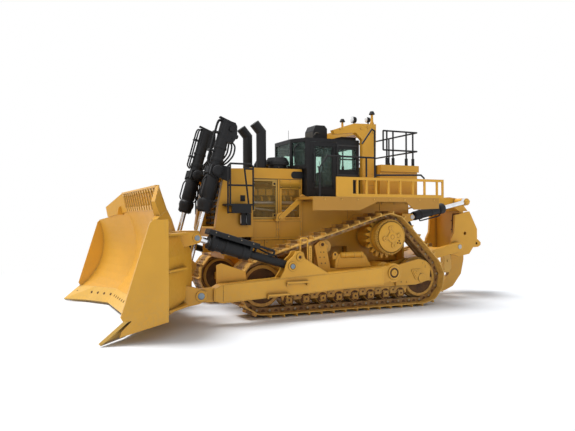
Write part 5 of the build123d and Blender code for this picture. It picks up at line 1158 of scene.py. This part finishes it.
def ripper_details():
    """The shank's protector, the carriage's pipes, and dark discs of painted shade in its bolt holes."""
    shield = Shape()
    shield.plate([(-4.42, 0.74), (-4.4, 1.13), (-4.16, 1.13), (-4.16, 0.66), (-4.22, 0.61), (-4.34, 0.63)],
            -0.085, 0.085)
    shield.drum((-4.29, 0.96), 0.03, 0.085, 0.105, 16)
    shield.drum((-4.29, 0.96), 0.03, -0.105, -0.085, 16)
    shield.make("shank_protector", "wear_steel", 0.01, body="ripper_carriage", both=False)
    lines = Shape()
    for y, x in ((0.26, -4.325), (0.34, -4.315), (0.42, -4.325), (0.49, -4.31)):
        lines.tube([at(-4.352, y, 1.72), at(x, y, 1.8), at(x, y, 2.2), at(-4.352, y, 2.34)], 0.022, 10, 0.08)
    for z in (1.86, 2.12):
        lines.box(-4.362, -4.296, 0.22, 0.52, z, z + 0.035)
    lines.make("carriage_pipes", "earth_iron", 0.001, body="ripper_carriage", both=False)
    for side in (-1, 1):
        # Painted shade: dark discs stand in for the carriage's bolt holes.
        holes = Shape()
        for x, z in ((-4.1, 1.3), (-4.13, 1.37)):
            holes.turned(at(x, side * 0.5952, z), (0, side, 0), [(0.03, 0), (0.03, 0.003), (0.018, 0.004)], 16)
        holes.make("carriage_bolt_hole_shade_" + ("right" if side < 0 else "left"),
                "dark_iron", 0.0, body="ripper_carriage", both=False)


# ---------------------------------------------------------------- the soft seat
def puffed(shape, name, plump):
    """A stuffed cover: the plain form is remeshed, blown up as cloth and capped, then smoothed."""
    obj = shape.make(name, "seat_fabric", 0.0, both=False)
    obj.modifiers.new("skin", "REMESH").voxel_size = 0.006
    scene = bpy.context.scene
    graph = bpy.context.evaluated_depsgraph_get()
    skin = bpy.data.meshes.new_from_object(obj.evaluated_get(graph))
    obj.modifiers.clear()
    obj.data = skin
    rest = [v.co.copy() for v in skin.vertices]
    cloth = obj.modifiers.new("air", "CLOTH")
    cloth.settings.use_pressure = True
    cloth.settings.uniform_pressure_force = 4.0
    cloth.settings.effector_weights.gravity = 0.0
    cloth.settings.quality = 4
    cloth.point_cache.frame_start, cloth.point_cache.frame_end = 1, 20
    for number in range(1, 21):
        scene.frame_set(number)
    graph = bpy.context.evaluated_depsgraph_get()
    blown = bpy.data.meshes.new_from_object(obj.evaluated_get(graph))
    moved = [v.co.copy() for v in blown.vertices]
    obj.modifiers.clear()
    scene.frame_set(1)
    for vert, start, end in zip(skin.vertices, rest, moved):
        step = end - start
        if step.length > plump:
            step *= plump / step.length
        vert.co = start + step
    smooth = obj.modifiers.new("ease", "CORRECTIVE_SMOOTH")
    smooth.use_only_smooth = True
    smooth.iterations = 12
    skin.materials.clear()
    skin.materials.append(MATERIALS["seat_fabric"])
    skin.shade_smooth()
    return obj


def operator_seat():
    """The soft cushion and back, their seams, and the suspension under them."""
    cushion = Shape()
    cushion.box(-0.415, 0.115, -SEAT_HALF, SEAT_HALF, 3.155, 3.285)
    base = puffed(cushion, "seat_cushion", 0.01)
    back = Shape()
    back.plate([(-0.555, 3.215), (-0.632, 3.895), (-0.525, 3.912), (-0.405, 3.215)], -0.242, 0.242)
    rest = puffed(back, "seat_back", 0.01)
    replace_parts(base, "operator_seat")
    piping = Shape()
    for y in (-0.11, 0.11):
        piping.tube([at(-0.36, y, 3.289), at(0.08, y, 3.289)], 0.005, 8)
        piping.tube([at(-0.418, y, 3.28), at(-0.5, y, 3.78)], 0.005, 8)
    piping.tube([at(-0.4, -SEAT_HALF, 3.22), at(0.1, -SEAT_HALF, 3.22), at(0.114, -0.24, 3.22),
            at(0.114, 0.24, 3.22), at(0.1, SEAT_HALF, 3.22), at(-0.4, SEAT_HALF, 3.22)], 0.005, 8)
    piping.make("seat_seams", "rubber", 0.0, both=False)
    stand = Shape()
    for k in range(5):
        z = 2.785 + 0.062 * k
        stand.box(-0.32 + 0.008 * (k % 2), 0.02 - 0.008 * (k % 2), -0.17, 0.17, z, z + 0.055)
    stand.box(-0.34, 0.04, -0.185, 0.185, 3.1, 3.148)
    stand.make("seat_suspension", "rubber", 0.008, both=False)


# ---------------------------------------------------------------- camera, stage and light
def make_camera():
    """The camera from which the photograph was taken."""
    data = bpy.data.cameras.new("camera")
    data.lens = CAMERA_LENS
    data.sensor_width = 36.0
    data.clip_end = 200.0
    camera = bpy.data.objects.new("camera", data)
    bpy.context.scene.collection.objects.link(camera)
    yaw, pitch, roll = (math.radians(v) for v in (CAMERA_YAW, CAMERA_PITCH, CAMERA_ROLL))
    forward = Vector((-math.sin(yaw) * math.cos(pitch), -math.cos(yaw) * math.cos(pitch), -math.sin(pitch)))
    right = forward.cross(Vector((0, 0, 1))).normalized()
    up = right.cross(forward)
    right, up = right * math.cos(roll) + up * math.sin(roll), up * math.cos(roll) - right * math.sin(roll)
    turn = Matrix((right, up, -forward)).transposed()
    camera.matrix_world = Matrix.Translation(CAMERA_AT) @ turn.to_4x4()
    bpy.context.scene.camera = camera


def make_floor():
    """A pale floor that keeps the machine's shadow and fades to plain white further out."""
    reach = 90.0
    mesh = bpy.data.meshes.new("floor")
    mesh.from_pydata([(-reach, -reach, 0), (reach, -reach, 0), (reach, reach, 0), (-reach, reach, 0)],
            [], [(0, 1, 2, 3)])
    floor = bpy.data.objects.new("floor", mesh)
    bpy.context.scene.collection.objects.link(floor)
    n = Nodes("floor")
    n.surface(Base_Color=n.mix(n.span(n.noise(0.5), 0.3, 0.7), rgba((0.84, 0.87, 0.91)), rgba((0.87, 0.9, 0.94))),
            Roughness=0.95)
    away = n.add("ShaderNodeVectorMath")
    away.operation = "LENGTH"
    n.feed(away.inputs[0], n.coord)
    glow = n.add("ShaderNodeEmission", Color=(1, 1, 1, 1), Strength=1.0)
    seen = n.add("ShaderNodeLightPath")
    share = n.math("MULTIPLY", n.span(away.outputs["Value"], 6.5, 15.0), seen.outputs["Is Camera Ray"])
    blend = n.add("ShaderNodeMixShader")
    n.feed(blend.inputs[0], share)
    n.feed(blend.inputs[1], n.shader.outputs[0])
    n.feed(blend.inputs[2], glow.outputs[0])
    n.feed(n.tree.nodes["Material Output"].inputs["Surface"], blend.outputs[0])
    mesh.materials.append(n.material)


def make_light():
    """A white studio: even world light that shows as plain white, and one broad overhead key."""
    world = bpy.data.worlds.new("world")
    bpy.context.scene.world = world
    world.use_nodes = True
    tree = world.node_tree
    light = tree.nodes["Background"]
    light.inputs["Color"].default_value = (0.97, 0.985, 1.0, 1)
    light.inputs["Strength"].default_value = 0.43
    shown = tree.nodes.new("ShaderNodeBackground")
    shown.inputs["Color"].default_value = (1, 1, 1, 1)
    path = tree.nodes.new("ShaderNodeLightPath")
    either = tree.nodes.new("ShaderNodeMath")
    either.operation = "MAXIMUM"
    tree.links.new(path.outputs["Is Camera Ray"], either.inputs[0])
    tree.links.new(path.outputs["Is Transmission Ray"], either.inputs[1])
    blend = tree.nodes.new("ShaderNodeMixShader")
    glossy = tree.nodes.new("ShaderNodeMath")
    glossy.operation = "MAXIMUM"
    tree.links.new(either.outputs[0], glossy.inputs[0])
    tree.links.new(path.outputs["Is Glossy Ray"], glossy.inputs[1])
    tree.links.new(glossy.outputs[0], blend.inputs[0])
    tree.links.new(light.outputs[0], blend.inputs[1])
    tree.links.new(shown.outputs[0], blend.inputs[2])
    tree.links.new(blend.outputs[0], tree.nodes["World Output"].inputs["Surface"])
    for name, towards, energy, angle in (("key", (0.3, -0.25, 0.92), 2.68, 26.0),
            ("front_fill", (0.75, 0.6, 0.3), 0.45, 60.0)):
        data = bpy.data.lights.new(name, "SUN")
        data.energy = energy
        data.angle = math.radians(angle)
        lamp = bpy.data.objects.new(name, data)
        lamp.rotation_euler = Vector(towards).to_track_quat("Z", "Y").to_euler()
        bpy.context.scene.collection.objects.link(lamp)


dress_cad()
for make_pieces in (chain_details, rollers, final_drives, frame_details, arm_details, tilt_details, lift_details,
        ripper_cylinder_details, blade_details, guard_details, engine_enclosure,
        hood_and_nose, cab_details, rops_details, deck_details, ripper_details, operator_seat):
    make_pieces()
make_camera()
make_floor()
make_light()
bpy.context.scene.view_settings.view_transform = "Standard"
